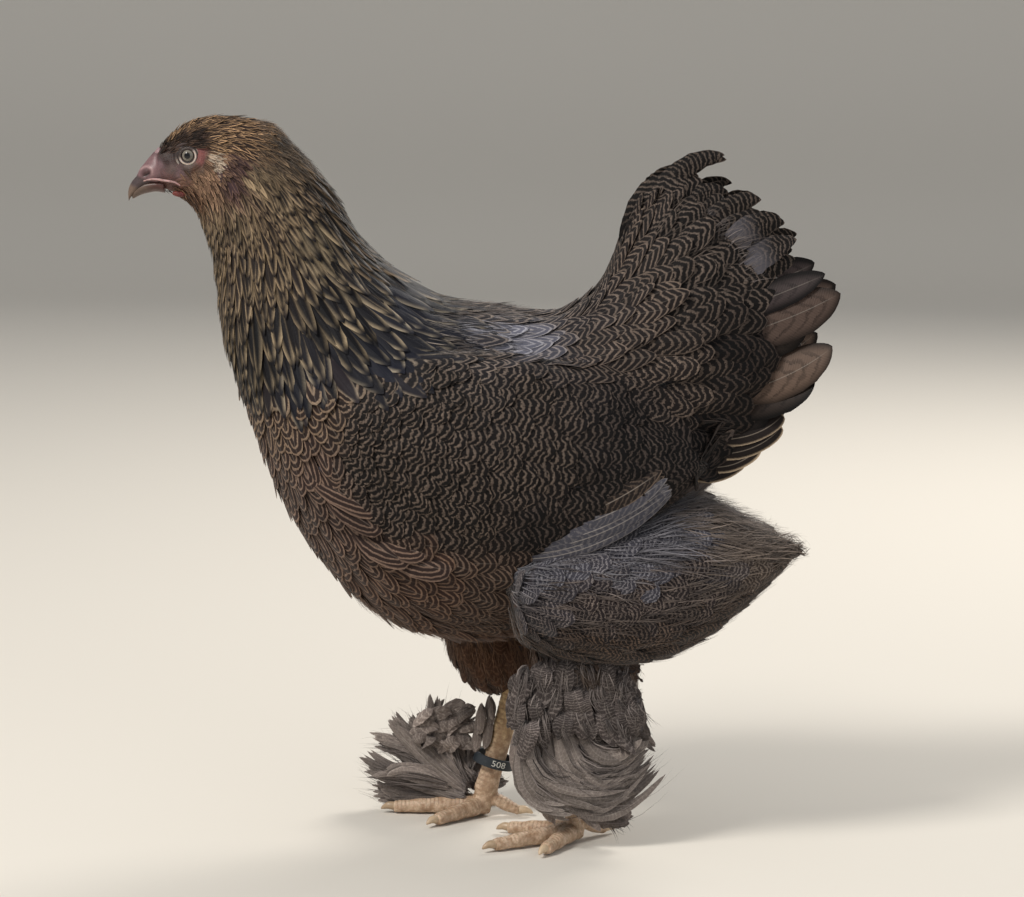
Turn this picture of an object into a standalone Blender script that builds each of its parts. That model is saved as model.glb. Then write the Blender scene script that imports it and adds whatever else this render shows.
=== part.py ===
"""A young large-fowl hen with feathered feet, standing, as a still life-size model.

The bird faces -X, its left side faces -Y, and it stands on z = 0. Lengths below are in
millimetres, turned into metres where meshes are made. The solids give the outline of the
plumage; single small feathers are not part of them.
"""

import math
from collections import namedtuple

import bmesh
import bpy
import numpy as np
from mathutils import Matrix, Vector

MM = 0.001

# Driving sizes of the bird
GAP = 0.7  # clear space between two parts that touch
BODY_SEGMENTS = 18
CENTRE_X = -7.65  # middle of the outline along the bird, which becomes x = 0
CENTRE_Y = 0.0  # the same across the bird

# Legs: the left one stands back, the right one forward
STANCE = 38.0  # from the middle plane to each foot
RIGHT_ANKLE_X = -2.0
LEFT_ANKLE_X = 62.0
ANKLE_HEIGHT = 22.0
HOCK_RISE = 84.0  # from ankle to hock
HOCK_BACK = 24.0
SHANK_RADIUS = 8.2
TOE_RADIUS = 5.6
BAND_INNER = 13.6
BAND_WALL = 1.5
BAND_HEIGHT = 7.5
BAND_ALONG = 0.2  # share of the shank below the band

# Head furniture
EYE_RADIUS = 5.6
EYE_PLACE = (-207.2, 475.6)
EYE_SIDE = 11.6

FACES_ARE_ROUND = math.radians(50)

# One ring of a loft: two ends in the side plane as (x, z), half its width across the bird,
# egg > 0 to be wider near the low end, and y, its middle across the bird.
Section = namedtuple("Section", "low high half egg y", defaults=(0.0, 0.0))

COLOURS = {
    "plumage": ((0.16, 0.13, 0.11), 0.7),
    "hackle": ((0.20, 0.17, 0.13), 0.6),
    "grey_down": ((0.22, 0.20, 0.19), 0.85),
    "quill": ((0.24, 0.19, 0.15), 0.5),
    "horn": ((0.30, 0.21, 0.14), 0.35),
    "red_skin": ((0.42, 0.18, 0.16), 0.6),
    "yellow_scale": ((0.62, 0.47, 0.27), 0.55),
    "eye": ((0.20, 0.17, 0.13), 0.1),
    "band": ((0.03, 0.04, 0.05), 0.4),
}


def clear_scene():
    """Starts from an empty scene."""
    for obj in list(bpy.data.objects):
        bpy.data.objects.remove(obj)


def material(name):
    """The named plain finish, made once."""
    found = bpy.data.materials.get(name)
    if found:
        return found
    colour, roughness = COLOURS[name]
    made = bpy.data.materials.new(name)
    made.use_nodes = True
    shader = made.node_tree.nodes["Principled BSDF"]
    shader.inputs["Base Color"].default_value = (*colour, 1.0)
    shader.inputs["Roughness"].default_value = roughness
    return made


def place(x, y, z):
    """A point in metres from the bird's own millimetres, with the outline centred."""
    return Vector((x - CENTRE_X, y - CENTRE_Y, z)) * MM


def add_object(name, mesh, finish):
    """Links a mesh as one round-shaded named part."""
    mesh.materials.clear()
    mesh.materials.append(material(finish))
    obj = bpy.data.objects.new(name, mesh)
    bpy.context.scene.collection.objects.link(obj)
    mesh.shade_smooth()
    mesh.set_sharp_from_angle(angle=FACES_ARE_ROUND)
    return obj


def catmull(before, start, end, after, t):
    """A smooth step from start to end, steered by their neighbours."""
    return 0.5 * (
        2 * start
        + (end - before) * t
        + (2 * before - 5 * start + 4 * end - after) * t * t
        + (3 * start - before - 3 * end + after) * t**3
    )


def finer(sections, steps=2):
    """The same row of sections with smooth ones set between them."""
    rows = np.array([[*s.low, *s.high, s.half, s.egg, s.y] for s in sections], float)
    made = []
    for i in range(len(rows) - 1):
        before, after = rows[max(i - 1, 0)], rows[min(i + 2, len(rows) - 1)]
        for step in range(steps):
            made.append(catmull(before, rows[i], rows[i + 1], after, step / steps))
    made.append(rows[-1])
    return [Section((r[0], r[1]), (r[2], r[3]), max(r[4], 0.4), r[5], r[6]) for r in made]


def ring_of(section, count, shift=(0.0, 0.0)):
    """Points round one section, from its high end down the bird's left side."""
    low, high = np.array(section.low), np.array(section.high)
    middle, reach = (low + high) / 2 + np.array(shift), (high - low) / 2
    points = []
    for i in range(count):
        turn = 2 * math.pi * i / count
        along, across = math.cos(turn), -math.sin(turn)
        x, z = middle + reach * along
        y = section.y + section.half * across * (1 - section.egg * along)
        points.append(place(x, y, z))
    return points


def skin_rings(name, rings, finish):
    """One closed solid through rows of rings, with a fan of faces over each end."""
    bm = bmesh.new()
    rows = [[bm.verts.new(p) for p in ring] for ring in rings]
    for first, second in zip(rows, rows[1:]):
        for i in range(len(first)):
            j = (i + 1) % len(first)
            bm.faces.new((first[i], first[j], second[j], second[i]))
    for row in (rows[0], rows[-1]):
        hub = bm.verts.new(sum((v.co for v in row), Vector()) / len(row))
        for i in range(len(row)):
            bm.faces.new((row[i], row[(i + 1) % len(row)], hub))
    bmesh.ops.recalc_face_normals(bm, faces=bm.faces)
    mesh = bpy.data.meshes.new(name)
    bm.to_mesh(mesh)
    bm.free()
    return add_object(name, mesh, finish)


def loft(name, sections, finish, steps=2, count=BODY_SEGMENTS):
    """A smooth closed body through a row of sections."""
    return skin_rings(name, [ring_of(s, count) for s in finer(sections, steps)], finish)


def tube_rings(path, radii, count=10):
    """Rings round a path of points."""
    rings = []
    for i, (point, radius) in enumerate(zip(path, radii)):
        ahead = Vector(path[min(i + 1, len(path) - 1)]) - Vector(path[max(i - 1, 0)])
        along = ahead.normalized()
        side = along.cross(Vector((0, 0, 1)))
        side = side.normalized() if side.length > 0.05 else Vector((0, 1, 0))
        up = side.cross(along).normalized()
        ring = []
        for k in range(count):
            turn = 2 * math.pi * (k + 0.5) / count
            p = Vector(point) + side * radius * math.cos(turn)
            p += up * radius * math.sin(turn)
            ring.append(place(*p))
        rings.append(ring)
    return rings


def curve_points(points, count):
    """Evenly stepped points on a smooth line through the given ones."""
    knots = [Vector(p) for p in points]
    made = []
    for i in range(count):
        at = i / (count - 1) * (len(knots) - 1)
        k = min(int(at), len(knots) - 2)
        before, after = knots[max(k - 1, 0)], knots[min(k + 2, len(knots) - 1)]
        made.append(catmull(before, knots[k], knots[k + 1], after, at - k))
    return made


def applied(obj):
    """Replaces the part's mesh with what its modifiers make."""
    graph = bpy.context.evaluated_depsgraph_get()
    graph.update()
    mesh = bpy.data.meshes.new_from_object(obj.evaluated_get(graph))
    obj.modifiers.clear()
    obj.data = mesh
    return obj


def keep_largest(obj):
    """Drops the crumbs that a cut can leave beside the main body."""
    bm = bmesh.new()
    bm.from_mesh(obj.data)
    unseen, groups = set(bm.verts), []
    while unseen:
        stack, group = [unseen.pop()], []
        while stack:
            vert = stack.pop()
            group.append(vert)
            for edge in vert.link_edges:
                other = edge.other_vert(vert)
                if other in unseen:
                    unseen.discard(other)
                    stack.append(other)
        groups.append(group)
    for group in sorted(groups, key=len)[:-1]:
        bmesh.ops.delete(bm, geom=group, context="VERTS")
    bmesh.ops.remove_doubles(bm, verts=bm.verts, dist=0.00001)
    bm.to_mesh(obj.data)
    bm.free()
    return obj


def grown_copy(obj, by):
    """A cutter: the part moved out all round by a small gap."""
    mesh = obj.data.copy()
    bm = bmesh.new()
    bm.from_mesh(mesh)
    bmesh.ops.remove_doubles(bm, verts=bm.verts, dist=0.00002)
    bm.normal_update()
    moves = [(v, v.normal * min(v.calc_shell_factor(), 1.6)) for v in bm.verts]
    for vert, move in moves:
        vert.co += move * by * MM
    bm.to_mesh(mesh)
    bm.free()
    cutter = bpy.data.objects.new("cutter_" + obj.name, mesh)
    bpy.context.scene.collection.objects.link(cutter)
    cutter.hide_render = True
    cutter.display_type = "WIRE"
    return cutter


def boolean(obj, other, operation):
    """Runs one exact Boolean on the part and keeps its main body."""
    cut = obj.modifiers.new(operation.lower(), "BOOLEAN")
    cut.operation = operation
    cut.solver = "EXACT"
    cut.object = other
    return keep_largest(applied(obj))


def carve(obj, *others, by=GAP):
    """Cuts the part back so that it meets the others with a small gap."""
    for other in others:
        cutter = grown_copy(other, by)
        boolean(obj, cutter, "DIFFERENCE")
        bpy.data.objects.remove(cutter)
    return obj


def unite(obj, *others):
    """Joins the others into the part as one solid."""
    for other in others:
        boolean(obj, other, "UNION")
        bpy.data.objects.remove(other)
    return obj


def stand_flat(obj):
    """Cuts off what is below the floor, which leaves flat soles."""
    bpy.ops.mesh.primitive_cube_add(size=1.0, location=(0, 0, -0.05))
    slab = bpy.context.active_object
    slab.name = "cutter_floor"
    slab.scale = (1.0, 1.0, 0.1)
    slab.hide_render = True
    slab.display_type = "WIRE"
    boolean(obj, slab, "DIFFERENCE")
    bpy.data.objects.remove(slab)
    return obj


def ellipsoid(name, centre, radii, finish, tilt=0.0, count=10, rings=5):
    """An ellipsoid, turned by tilt degrees in the side plane."""
    mesh = bpy.data.meshes.new(name)
    bm = bmesh.new()
    bmesh.ops.create_uvsphere(bm, u_segments=count, v_segments=rings, radius=1.0)
    turn = Matrix.Rotation(math.radians(tilt), 4, "Y")
    bm.transform(turn @ Matrix.Diagonal((*(Vector(radii) * MM), 1.0)))
    bm.transform(Matrix.Translation(place(*centre)))
    bm.to_mesh(mesh)
    bm.free()
    return add_object(name, mesh, finish)


def body_sections():
    """The outline of the plumage from the throat, round the breast, to the rump."""
    return [
        Section((-202, 433.5), (-137, 482), 25.0),
        Section((-193.5, 411), (-119.5, 464.5), 29.0),
        Section((-190.5, 392), (-105, 444), 35.0, 0.02),
        Section((-188, 370), (-91, 419), 43.0, 0.03),
        Section((-185, 348), (-70, 399), 53.0, 0.05),
        Section((-178.5, 325), (-47, 384), 65.0, 0.08),
        Section((-170, 299), (-27, 374), 76.0, 0.10),
        Section((-159.5, 268), (-7, 371.5), 85.0, 0.12),
        Section((-145, 233), (11, 370), 91.0, 0.14),
        Section((-120, 193), (28, 367.5), 94.0, 0.15),
        Section((-85, 157), (45, 367), 95.0, 0.15),
        Section((-42, 139), (60, 373.5), 94.0, 0.14),
        Section((6, 136), (73.5, 384), 91.0, 0.12),
        Section((55, 150), (82, 397), 86.0, 0.10),
        Section((100, 180), (86.5, 408), 79.0, 0.10),
        Section((134, 222), (89.5, 417), 71.0, 0.10),
    ]


NECK_ENDS = 5  # the section where the hackle stops and the trunk begins


def shifted(sections, index, by):
    """The sections with one end slid along the row, to leave a gap there."""
    end, inner = sections[index], sections[index + (1 if index == 0 else -1)]
    share = by / (Vector(end.low) - Vector(inner.low)).length
    rows = [np.array([*s.low, *s.high, s.half, s.egg, s.y]) for s in (end, inner)]
    r = rows[0] + (rows[1] - rows[0]) * share
    moved = list(sections)
    moved[index] = Section((r[0], r[1]), (r[2], r[3]), r[4], r[5], r[6])
    return moved


def make_torso():
    """Neck and trunk share one outline and part at the foot of the hackle."""
    whole = finer(body_sections(), 2)
    split = NECK_ENDS * 2
    neck = shifted(whole[: split + 1], -1, GAP)
    neck = shifted(neck, 0, GAP)
    neck = loft("neck", neck, "hackle", steps=1)
    trunk = loft("trunk", whole[split:], "plumage", steps=1)
    return neck, trunk


def make_head():
    """The feathered skull, from the throat and nape to the root of the bill."""
    throat = body_sections()[0]
    return loft(
        "head",
        [
            throat,
            Section((-207.5, 440.5), (-147.5, 495), 23.0),
            Section((-212, 444.5), (-161, 500), 20.8),
            Section((-216, 446.8), (-178, 502.3), 18.8),
            Section((-220, 448.2), (-195, 502.8), 16.8),
            Section((-224, 449.5), (-209.5, 498.2), 14.2),
            Section((-227.5, 450.5), (-219, 491.5), 11.6),
            Section((-231, 452.5), (-226, 484.5), 9.4),
            Section((-232.2, 454), (-231.4, 478.5), 8.4),
        ],
        "hackle",
        steps=1,
        count=14,
    )


def make_bill(head):
    """The upper bill with its down-curved tip, and the lower bill under it."""
    upper = loft(
        "bill_upper",
        [
            Section((-230.5, 455.6), (-231.6, 478.5), 7.9),
            Section((-235.0, 454.0), (-237.4, 471.0), 7.2),
            Section((-239.6, 452.4), (-242.4, 465.2), 6.0),
            Section((-244.2, 449.6), (-246.2, 459.4), 4.6),
            Section((-247.8, 446.6), (-249.8, 454.0), 2.9),
            Section((-249.4, 444.6), (-250.7, 449.0), 1.7),
            Section((-250.1, 443.2), (-250.4, 444.6), 0.5),
        ],
        "horn",
        steps=1,
        count=12,
    )
    lower = loft(
        "bill_lower",
        [
            Section((-226.0, 449.2), (-226.5, 455.8), 7.2),
            Section((-235.4, 448.6), (-235.8, 454.2), 5.6),
            Section((-242.4, 446.8), (-242.7, 450.8), 3.4),
            Section((-246.4, 445.2), (-246.5, 447.0), 1.2),
        ],
        "horn",
        steps=1,
        count=10,
    )
    carve(upper, head)
    carve(lower, head, upper)
    return upper, lower


def make_comb(head, upper):
    """A low comb: a middle row of small knobs on the root of the bill and the brow."""
    knobs = 5
    comb = None
    for i in range(knobs):
        share = i / (knobs - 1)
        x = -240.6 + 14.6 * share
        z = 467.6 + 20.0 * share
        size = 2.5 + 0.5 * math.sin(math.pi * share)
        knob = ellipsoid(f"comb_{i}", (x, 0, z), (size, 3.2, size), "red_skin", count=8, rings=4)
        if comb is None:
            comb = knob
            comb.name = "comb"
        else:
            unite(comb, knob)
    return carve(comb, head, upper)


def make_face(head, neck, side):
    """Eye, ear lobe and the start of a wattle on one side of the head."""
    end = "left" if side < 0 else "right"
    eye = ellipsoid(
        f"eye_{end}",
        (EYE_PLACE[0], side * EYE_SIDE, EYE_PLACE[1]),
        (EYE_RADIUS,) * 3,
        "eye",
        count=10,
        rings=7,
    )
    lobe = ellipsoid(
        f"earlobe_{end}", (-186.5, side * 20.6, 459), (4.0, 3.2, 7.6), "red_skin", tilt=-8
    )
    wattle = ellipsoid(
        f"wattle_{end}", (-214.5, side * 9.5, 448.0), (5.4, 3.0, 2.8), "red_skin", tilt=12
    )
    carve(head, eye)
    carve(lobe, head, neck)
    carve(wattle, head)
    return eye, lobe, wattle


def make_wing(trunk, side):
    """The folded wing, a low pad that follows the flank, and the flight feathers under it."""
    end = "left" if side < 0 else "right"
    rows = [
        ((-109, 292), (-109, 302), 3.0, 80),
        ((-92, 262), (-90, 325), 17.0, 78),
        ((-50, 222), (-46, 345), 27.0, 77),
        ((-7, 204), (-3, 348), 30.0, 76),
        ((35, 203), (41, 343), 30.5, 74),
        ((77, 212), (82, 330), 30.0, 70),
        ((112, 230), (113, 305), 25.0, 66),
        ((139, 254), (139, 280), 11.0, 64),
        ((147, 264), (147, 269), 2.0, 63),
    ]
    wing = loft(
        f"wing_{end}",
        [Section(low, high, half, 0.05, side * y) for low, high, half, y in rows],
        "plumage",
        steps=1,
        count=12,
    )
    carve(wing, trunk)
    quills = loft(
        f"primaries_{end}",
        [
            Section((8, 197), (4, 215), 4.0, 0.0, side * 92),
            Section((30, 195), (30, 226), 5.0, 0.0, side * 98),
            Section((62, 203), (62, 238), 6.0, 0.0, side * 99),
            Section((94, 222), (94, 252), 6.0, 0.0, side * 96),
            Section((120, 244), (118, 262), 5.0, 0.0, side * 88),
            Section((131, 258), (130, 264), 1.5, 0.0, side * 84),
        ],
        "quill",
        steps=1,
        count=12,
    )
    return wing, quills


def make_cushion(side):
    """The great lobe of soft feathers over the thigh, drawn out behind to a rising tip.

    The right one is carried a little forward with its leg.
    """
    end = "left" if side < 0 else "right"
    rows = [
        ((11, 172), (11, 190), 14.0, 62),
        ((20, 144), (16, 212), 38.0, 60),
        ((48, 131), (44, 226), 47.0, 56),
        ((85, 126), (82, 236), 49.0, 54),
        ((122, 130), (124, 243), 47.0, 51),
        ((152, 146), (158, 238), 40.0, 48),
        ((178, 168), (184, 222), 29.0, 46),
        ((198, 188), (200, 213), 16.0, 45),
        ((214, 205), (214, 210), 3.0, 45),
    ]
    shift = np.array((-14.0, -3.0)) if side > 0 else np.zeros(2)
    return loft(
        f"thigh_fluff_{end}",
        [
            Section(np.array(low) + shift, np.array(high) + shift, half, 0.0, side * y)
            for low, high, half, y in rows
        ],
        "grey_down",
        steps=1,
        count=14,
    )


def make_drumstick(side, ankle_x):
    """The feathered lower thigh, narrowing to the hock."""
    end = "left" if side < 0 else "right"
    hock = ankle_x + HOCK_BACK
    rows = [
        (hock - 64, 205, hock + 26, 205, 36.0),
        (hock - 62, 165, hock + 24, 175, 34.0),
        (hock - 58, 134, hock + 20, 142, 29.0),
        (hock - 51, 112, hock + 17, 116, 24.0),
        (hock - 40, 96, hock + 13, 98, 17.0),
        (hock - 28, 88, hock + 4, 89, 9.0),
    ]
    return loft(
        f"drumstick_{end}",
        [Section((a, b), (c, d), half, 0.0, side * 46) for a, b, c, d, half in rows],
        "plumage",
        steps=1,
        count=14,
    )


def shank_line(ankle_x, side):
    """The ankle and the hock of one leg."""
    ankle = Vector((ankle_x, side * STANCE, ANKLE_HEIGHT))
    return ankle, ankle + Vector((HOCK_BACK, side * 2.0, HOCK_RISE))


def make_leg(side, ankle_x, turn_out):
    """Shank, foot with four toes, and the claws of one leg."""
    end = "left" if side < 0 else "right"
    ankle, hock = shank_line(ankle_x, side)
    shares = [0.06, 0.2, 0.45, 0.7, 0.88, 1.0]
    widths = [1.0, 0.94, 0.95, 1.05, 1.15, 1.1]
    shank = skin_rings(
        f"shank_{end}",
        tube_rings([ankle.lerp(hock, s) for s in shares], [SHANK_RADIUS * w for w in widths], 10),
        "yellow_scale",
    )
    foot = skin_rings(
        f"foot_{end}",
        tube_rings(
            [ankle + Vector((-3, 0, -15)), ankle + Vector((-2, 0, -6)), ankle.lerp(hock, 0.05)],
            [7.0, 8.6, SHANK_RADIUS],
            8,
        ),
        "yellow_scale",
    )
    # Toes: turn from straight ahead, positive away from the bird's middle, and length.
    toes = (("inner", -50, 50, 0), ("middle", 0, 66, 0), ("outer", 34, 50, 0), ("hind", 188, 26, 1))
    claws = []
    root = ankle + Vector((-2, 0, 5.6 - ANKLE_HEIGHT))
    for name, turn, length, is_hind in toes:
        heading = math.radians(turn + turn_out)
        ahead = Vector((-math.cos(heading), side * math.sin(heading), 0))
        start = root + Vector((0, 0, 6 if is_hind else 0))
        lift = Vector((0, 0, 1))
        line = [
            start,
            start + ahead * length * 0.35 - lift * (2.0 if is_hind else 0.2),
            start + ahead * length * 0.7 - lift * (6.2 if is_hind else 1.4),
            start + ahead * length - lift * (9.0 if is_hind else 2.6),
        ]
        path = curve_points(line, 5)
        sizes = [TOE_RADIUS * (1.12 - 0.42 * i / 4) for i in range(5)]
        if is_hind:
            sizes = [0.82 * size for size in sizes]
        toe = skin_rings(f"toe_{end}_{name}", tube_rings(path, sizes, 8), "yellow_scale")
        unite(foot, toe)
        tip = path[-1]
        claw_line = [
            tip - ahead * 1.0 + lift * 0.8,
            tip + ahead * 4.5 + lift * 1.2,
            tip + ahead * 9.0 - lift * 0.2,
            tip + ahead * 12.5 - lift * 1.6,
        ]
        claw = skin_rings(
            f"claw_{end}_{name}",
            tube_rings(curve_points(claw_line, 4), [2.7, 2.5, 1.7, 0.6], 6),
            "horn",
        )
        claws.append(claw)
    stand_flat(foot)
    for claw in claws:
        carve(claw, foot)
    carve(foot, shank)
    return shank, foot, claws


def make_band(ankle_x, side):
    """The number ring, loose round the right shank."""
    ankle, hock = shank_line(ankle_x, side)
    along = (hock - ankle).normalized()
    middle = ankle.lerp(hock, BAND_ALONG)
    across = Vector((0, 1, 0))
    front = across.cross(along).normalized()
    outer = BAND_INNER + BAND_WALL
    profile = (
        (BAND_INNER, -BAND_HEIGHT / 2),
        (outer, -BAND_HEIGHT / 2),
        (outer, BAND_HEIGHT / 2),
        (BAND_INNER, BAND_HEIGHT / 2),
    )
    count = 20
    bm = bmesh.new()
    rows = []
    for i in range(count):
        turn = 2 * math.pi * i / count
        out = front * math.cos(turn) + across * math.sin(turn)
        rows.append([bm.verts.new(place(*(middle + out * r + along * h))) for r, h in profile])
    for i in range(count):
        first, second = rows[i], rows[(i + 1) % count]
        for k in range(len(profile)):
            n = (k + 1) % len(profile)
            bm.faces.new((first[k], first[n], second[n], second[k]))
    bmesh.ops.recalc_face_normals(bm, faces=bm.faces)
    mesh = bpy.data.meshes.new("leg_band")
    bm.to_mesh(mesh)
    bm.free()
    return add_object("leg_band", mesh, "band")


def plume(name, points, width, thick, lean, finish="grey_down", count=5):
    """One broad soft feather as a thin closed blade along a curved line.

    Its flat side is set by lean, the direction across the blade.
    """
    path = curve_points(points, count)
    rings = []
    for i, point in enumerate(path):
        share = i / (count - 1)
        shape = math.sin(math.pi * (0.18 + 0.72 * share)) ** 0.8
        ahead = (path[min(i + 1, count - 1)] - path[max(i - 1, 0)]).normalized()
        across = Vector(lean) - ahead * ahead.dot(Vector(lean))
        across.normalize()
        out = ahead.cross(across)
        ring = []
        for k in range(5):
            turn = 2 * math.pi * k / 5
            p = point + across * width / 2 * shape * math.cos(turn)
            p += out * thick / 2 * (0.4 + 0.6 * shape) * math.sin(turn)
            p.z = max(p.z, 1.5)
            ring.append(place(*p))
        rings.append(ring)
    return skin_rings(name, rings, finish)


def make_right_foot_feathers(ankle_x):
    """Feathers of the right shank and toes, which rise forward and outward."""
    y = STANCE
    tuft = ellipsoid("foot_feathers_right", (ankle_x - 15, y + 20, 38), (20, 12, 32), "grey_down", tilt=-14)
    plumes = (
        (((-14, 16, 32), (-40, 32, 56), (-68, 44, 74)), 24, 7),
        (((-14, 14, 22), (-48, 30, 36), (-82, 44, 50)), 25, 7),
        (((-14, 14, 15), (-48, 28, 18), (-84, 42, 26)), 26, 7),
        (((-12, 16, 42), (-26, 32, 66), (-44, 42, 80)), 26, 8),
        (((-8, 16, 30), (-10, 40, 30), (-10, 64, 30)), 34, 9),
        (((0, 14, 24), (18, 32, 22), (36, 50, 26)), 26, 8),
    )
    for i, (line, width, thick) in enumerate(plumes):
        points = [(ankle_x + a, y + b, c) for a, b, c in line]
        unite(tuft, plume(f"plume_right_{i}", points, width, thick, (0, -0.35, 1)))
    return tuft


def make_left_foot_feathers(ankle_x):
    """The hock tuft and the long shank feathers of the left leg, which sweep down and back."""
    y = -STANCE
    tuft = ellipsoid("foot_feathers_left", (ankle_x - 1, y - 20, 84), (39, 19, 44), "grey_down", tilt=10)
    plumes = (
        (((-14, -14, 66), (-26, -26, 42), (-20, -34, 14)), 34, 12),
        (((0, -22, 68), (-4, -34, 38), (6, -38, 14)), 36, 12),
        (((12, -22, 66), (14, -34, 38), (38, -40, 18)), 34, 12),
        (((20, -16, 62), (26, -26, 38), (52, -30, 34)), 30, 11),
        (((-4, -12, 22), (-24, -32, 10), (-42, -54, 7)), 32, 8),
        (((4, -12, 22), (8, -38, 10), (10, -66, 7)), 34, 8),
    )
    for i, (line, width, thick) in enumerate(plumes):
        points = [(ankle_x + a, y + b, c) for a, b, c in line]
        unite(tuft, plume(f"plume_left_{i}", points, width, thick, (1, 0.1, 0.25)))
    return tuft


def tail_sections():
    """The covert mass of the tail, from the rump to its blunt end."""
    return [
        Section((134, 222), (89.5, 417), 71.0, 0.10),
        Section((152, 244), (98.5, 436), 66.0, 0.18),
        Section((172, 262), (113, 452), 61.0, 0.26),
        Section((188, 276), (133, 456), 54.0, 0.32),
        Section((200, 294), (155, 441), 46.0, 0.32),
        Section((207, 316), (177, 414), 36.0, 0.28),
        Section((209, 340), (196, 386), 22.0, 0.1),
        Section((209, 356), (204, 370), 6.0, 0.0),
    ]


def make_tail_coverts():
    """The rump and tail coverts as one swelling mass."""
    return loft("tail_coverts", shifted(finer(tail_sections(), 2), 0, GAP), "plumage", steps=1)


FAN_ROOT = (82.0, 318.0)  # where the tail quills meet, in the side plane
FAN_STEPS = 4  # across one quill
FAN_RINGS = 4  # along it
FAN_THICK = 1.8
# Rise in degrees and length of each quill, seen from the side, from the top one down.
FAN_QUILLS = (
    (68, 175),
    (58, 166),
    (48, 167),
    (37, 168),
    (26, 171),
    (13, 162),
    (0, 146),
    (-14, 124),
)


def fan_point(side, turn, share, face):
    """A point of the spread tail: turn counts quills from the top one (0) down."""
    count = len(FAN_QUILLS)
    quill = min(int(turn), count - 1)
    within = turn - quill
    at = min(max(turn - 0.5, 0.0), count - 1.0)
    low = min(int(at), count - 2)
    rise, reach = (a + (b - a) * (at - low) for a, b in zip(FAN_QUILLS[low], FAN_QUILLS[low + 1]))
    rise += (turn - 0.5 - at) * -11
    bulge = 1 - abs(2 * within - 1) ** 2.4
    radius = 50 + (reach - 50) * share * (1 - 0.17 * (1 - bulge) * share**3)
    rise = math.radians(rise + 9 * (1 - share) ** 1.5 * (1 - turn / count))
    splay = math.radians(4.5 + 15.5 * (turn / count) ** 0.8)
    shingle = 3.4 * (within - 0.5) * share
    out = radius * math.tan(splay) + shingle + FAN_THICK * 0.5 * face + 3.4
    x = FAN_ROOT[0] + radius * math.cos(rise)
    z = FAN_ROOT[1] + radius * math.sin(rise)
    return place(x, side * out, z)


def make_tail_fan(side):
    """One half of the tail: overlapping stiff quills with rounded ends."""
    end = "left" if side < 0 else "right"
    across = len(FAN_QUILLS) * FAN_STEPS
    turns = [(i + (0.04 if i % FAN_STEPS == 0 and i else 0)) / FAN_STEPS for i in range(across)]
    turns.append(len(FAN_QUILLS) - 0.01)
    shares = [1 - (1 - k / FAN_RINGS) ** 1.3 for k in range(FAN_RINGS + 1)]
    bm = bmesh.new()
    faces = [
        [[bm.verts.new(fan_point(side, t, s, face)) for s in shares] for t in turns]
        for face in (-1, 1)
    ]
    inner, outer = faces
    for grid in faces:
        for i in range(across):
            for k in range(FAN_RINGS):
                bm.faces.new((grid[i][k], grid[i + 1][k], grid[i + 1][k + 1], grid[i][k + 1]))
    rim = [(i, 0) for i in range(across)] + [(across, k) for k in range(FAN_RINGS)]
    rim += [(i, FAN_RINGS) for i in range(across, 0, -1)] + [(0, k) for k in range(FAN_RINGS, 0, -1)]
    for (i, k), (m, n) in zip(rim, rim[1:] + rim[:1]):
        bm.faces.new((inner[i][k], inner[m][n], outer[m][n], outer[i][k]))
    bmesh.ops.recalc_face_normals(bm, faces=bm.faces)
    mesh = bpy.data.meshes.new(f"tail_fan_{end}")
    bm.to_mesh(mesh)
    bm.free()
    return add_object(f"tail_fan_{end}", mesh, "quill")


def main():
    clear_scene()
    neck, trunk = make_torso()
    head = make_head()
    upper, lower = make_bill(head)
    make_comb(head, upper)
    coverts = make_tail_coverts()
    for side in (-1, 1):
        make_face(head, neck, side)
        wing, quills = make_wing(trunk, side)
        carve(wing, coverts)
        carve(quills, trunk, wing, coverts)
        fluff = carve(make_cushion(side), trunk, coverts, wing, quills)
        ankle_x = LEFT_ANKLE_X if side < 0 else RIGHT_ANKLE_X
        turn_out = 30 if side < 0 else 4
        drumstick = carve(make_drumstick(side, ankle_x), trunk, fluff, wing)
        shank, foot, claws = make_leg(side, ankle_x, turn_out)
        carve(shank, drumstick)
        make_feathers = make_left_foot_feathers if side < 0 else make_right_foot_feathers
        feathers = make_feathers(ankle_x)
        carve(feathers, trunk, fluff, drumstick, shank, foot, *claws)
        if side > 0:
            carve(feathers, make_band(ankle_x, side))
        carve(make_tail_fan(side), coverts, trunk)


main()
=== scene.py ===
"""Looks of a standing feather-footed hen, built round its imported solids.

One skin replaces the solids of flesh. Vanes, plumes and locks of down lie over it as joined
meshes. Lengths in the tables are in the bird's own millimetres, the same as its solids use.
"""

import logging
import math
from collections.abc import Callable, Iterator
from contextlib import contextmanager
from dataclasses import dataclass, field
from enum import Enum

import bmesh
import bpy
import numpy as np
from mathutils import Matrix, Vector
from mathutils.kdtree import KDTree


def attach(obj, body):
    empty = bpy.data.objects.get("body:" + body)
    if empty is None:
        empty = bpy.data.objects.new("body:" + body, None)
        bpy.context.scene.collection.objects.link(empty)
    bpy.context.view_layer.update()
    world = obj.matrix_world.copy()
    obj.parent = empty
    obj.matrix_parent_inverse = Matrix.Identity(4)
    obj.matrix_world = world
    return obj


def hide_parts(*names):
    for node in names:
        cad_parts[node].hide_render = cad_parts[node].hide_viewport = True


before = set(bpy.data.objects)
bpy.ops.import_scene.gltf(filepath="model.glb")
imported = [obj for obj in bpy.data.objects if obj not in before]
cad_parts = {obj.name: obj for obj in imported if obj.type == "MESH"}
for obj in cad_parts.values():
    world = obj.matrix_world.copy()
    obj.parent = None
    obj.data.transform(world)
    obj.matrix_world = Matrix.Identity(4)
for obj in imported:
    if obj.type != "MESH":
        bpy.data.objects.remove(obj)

Array = np.ndarray
Material = bpy.types.Material
Obj = bpy.types.Object

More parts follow.
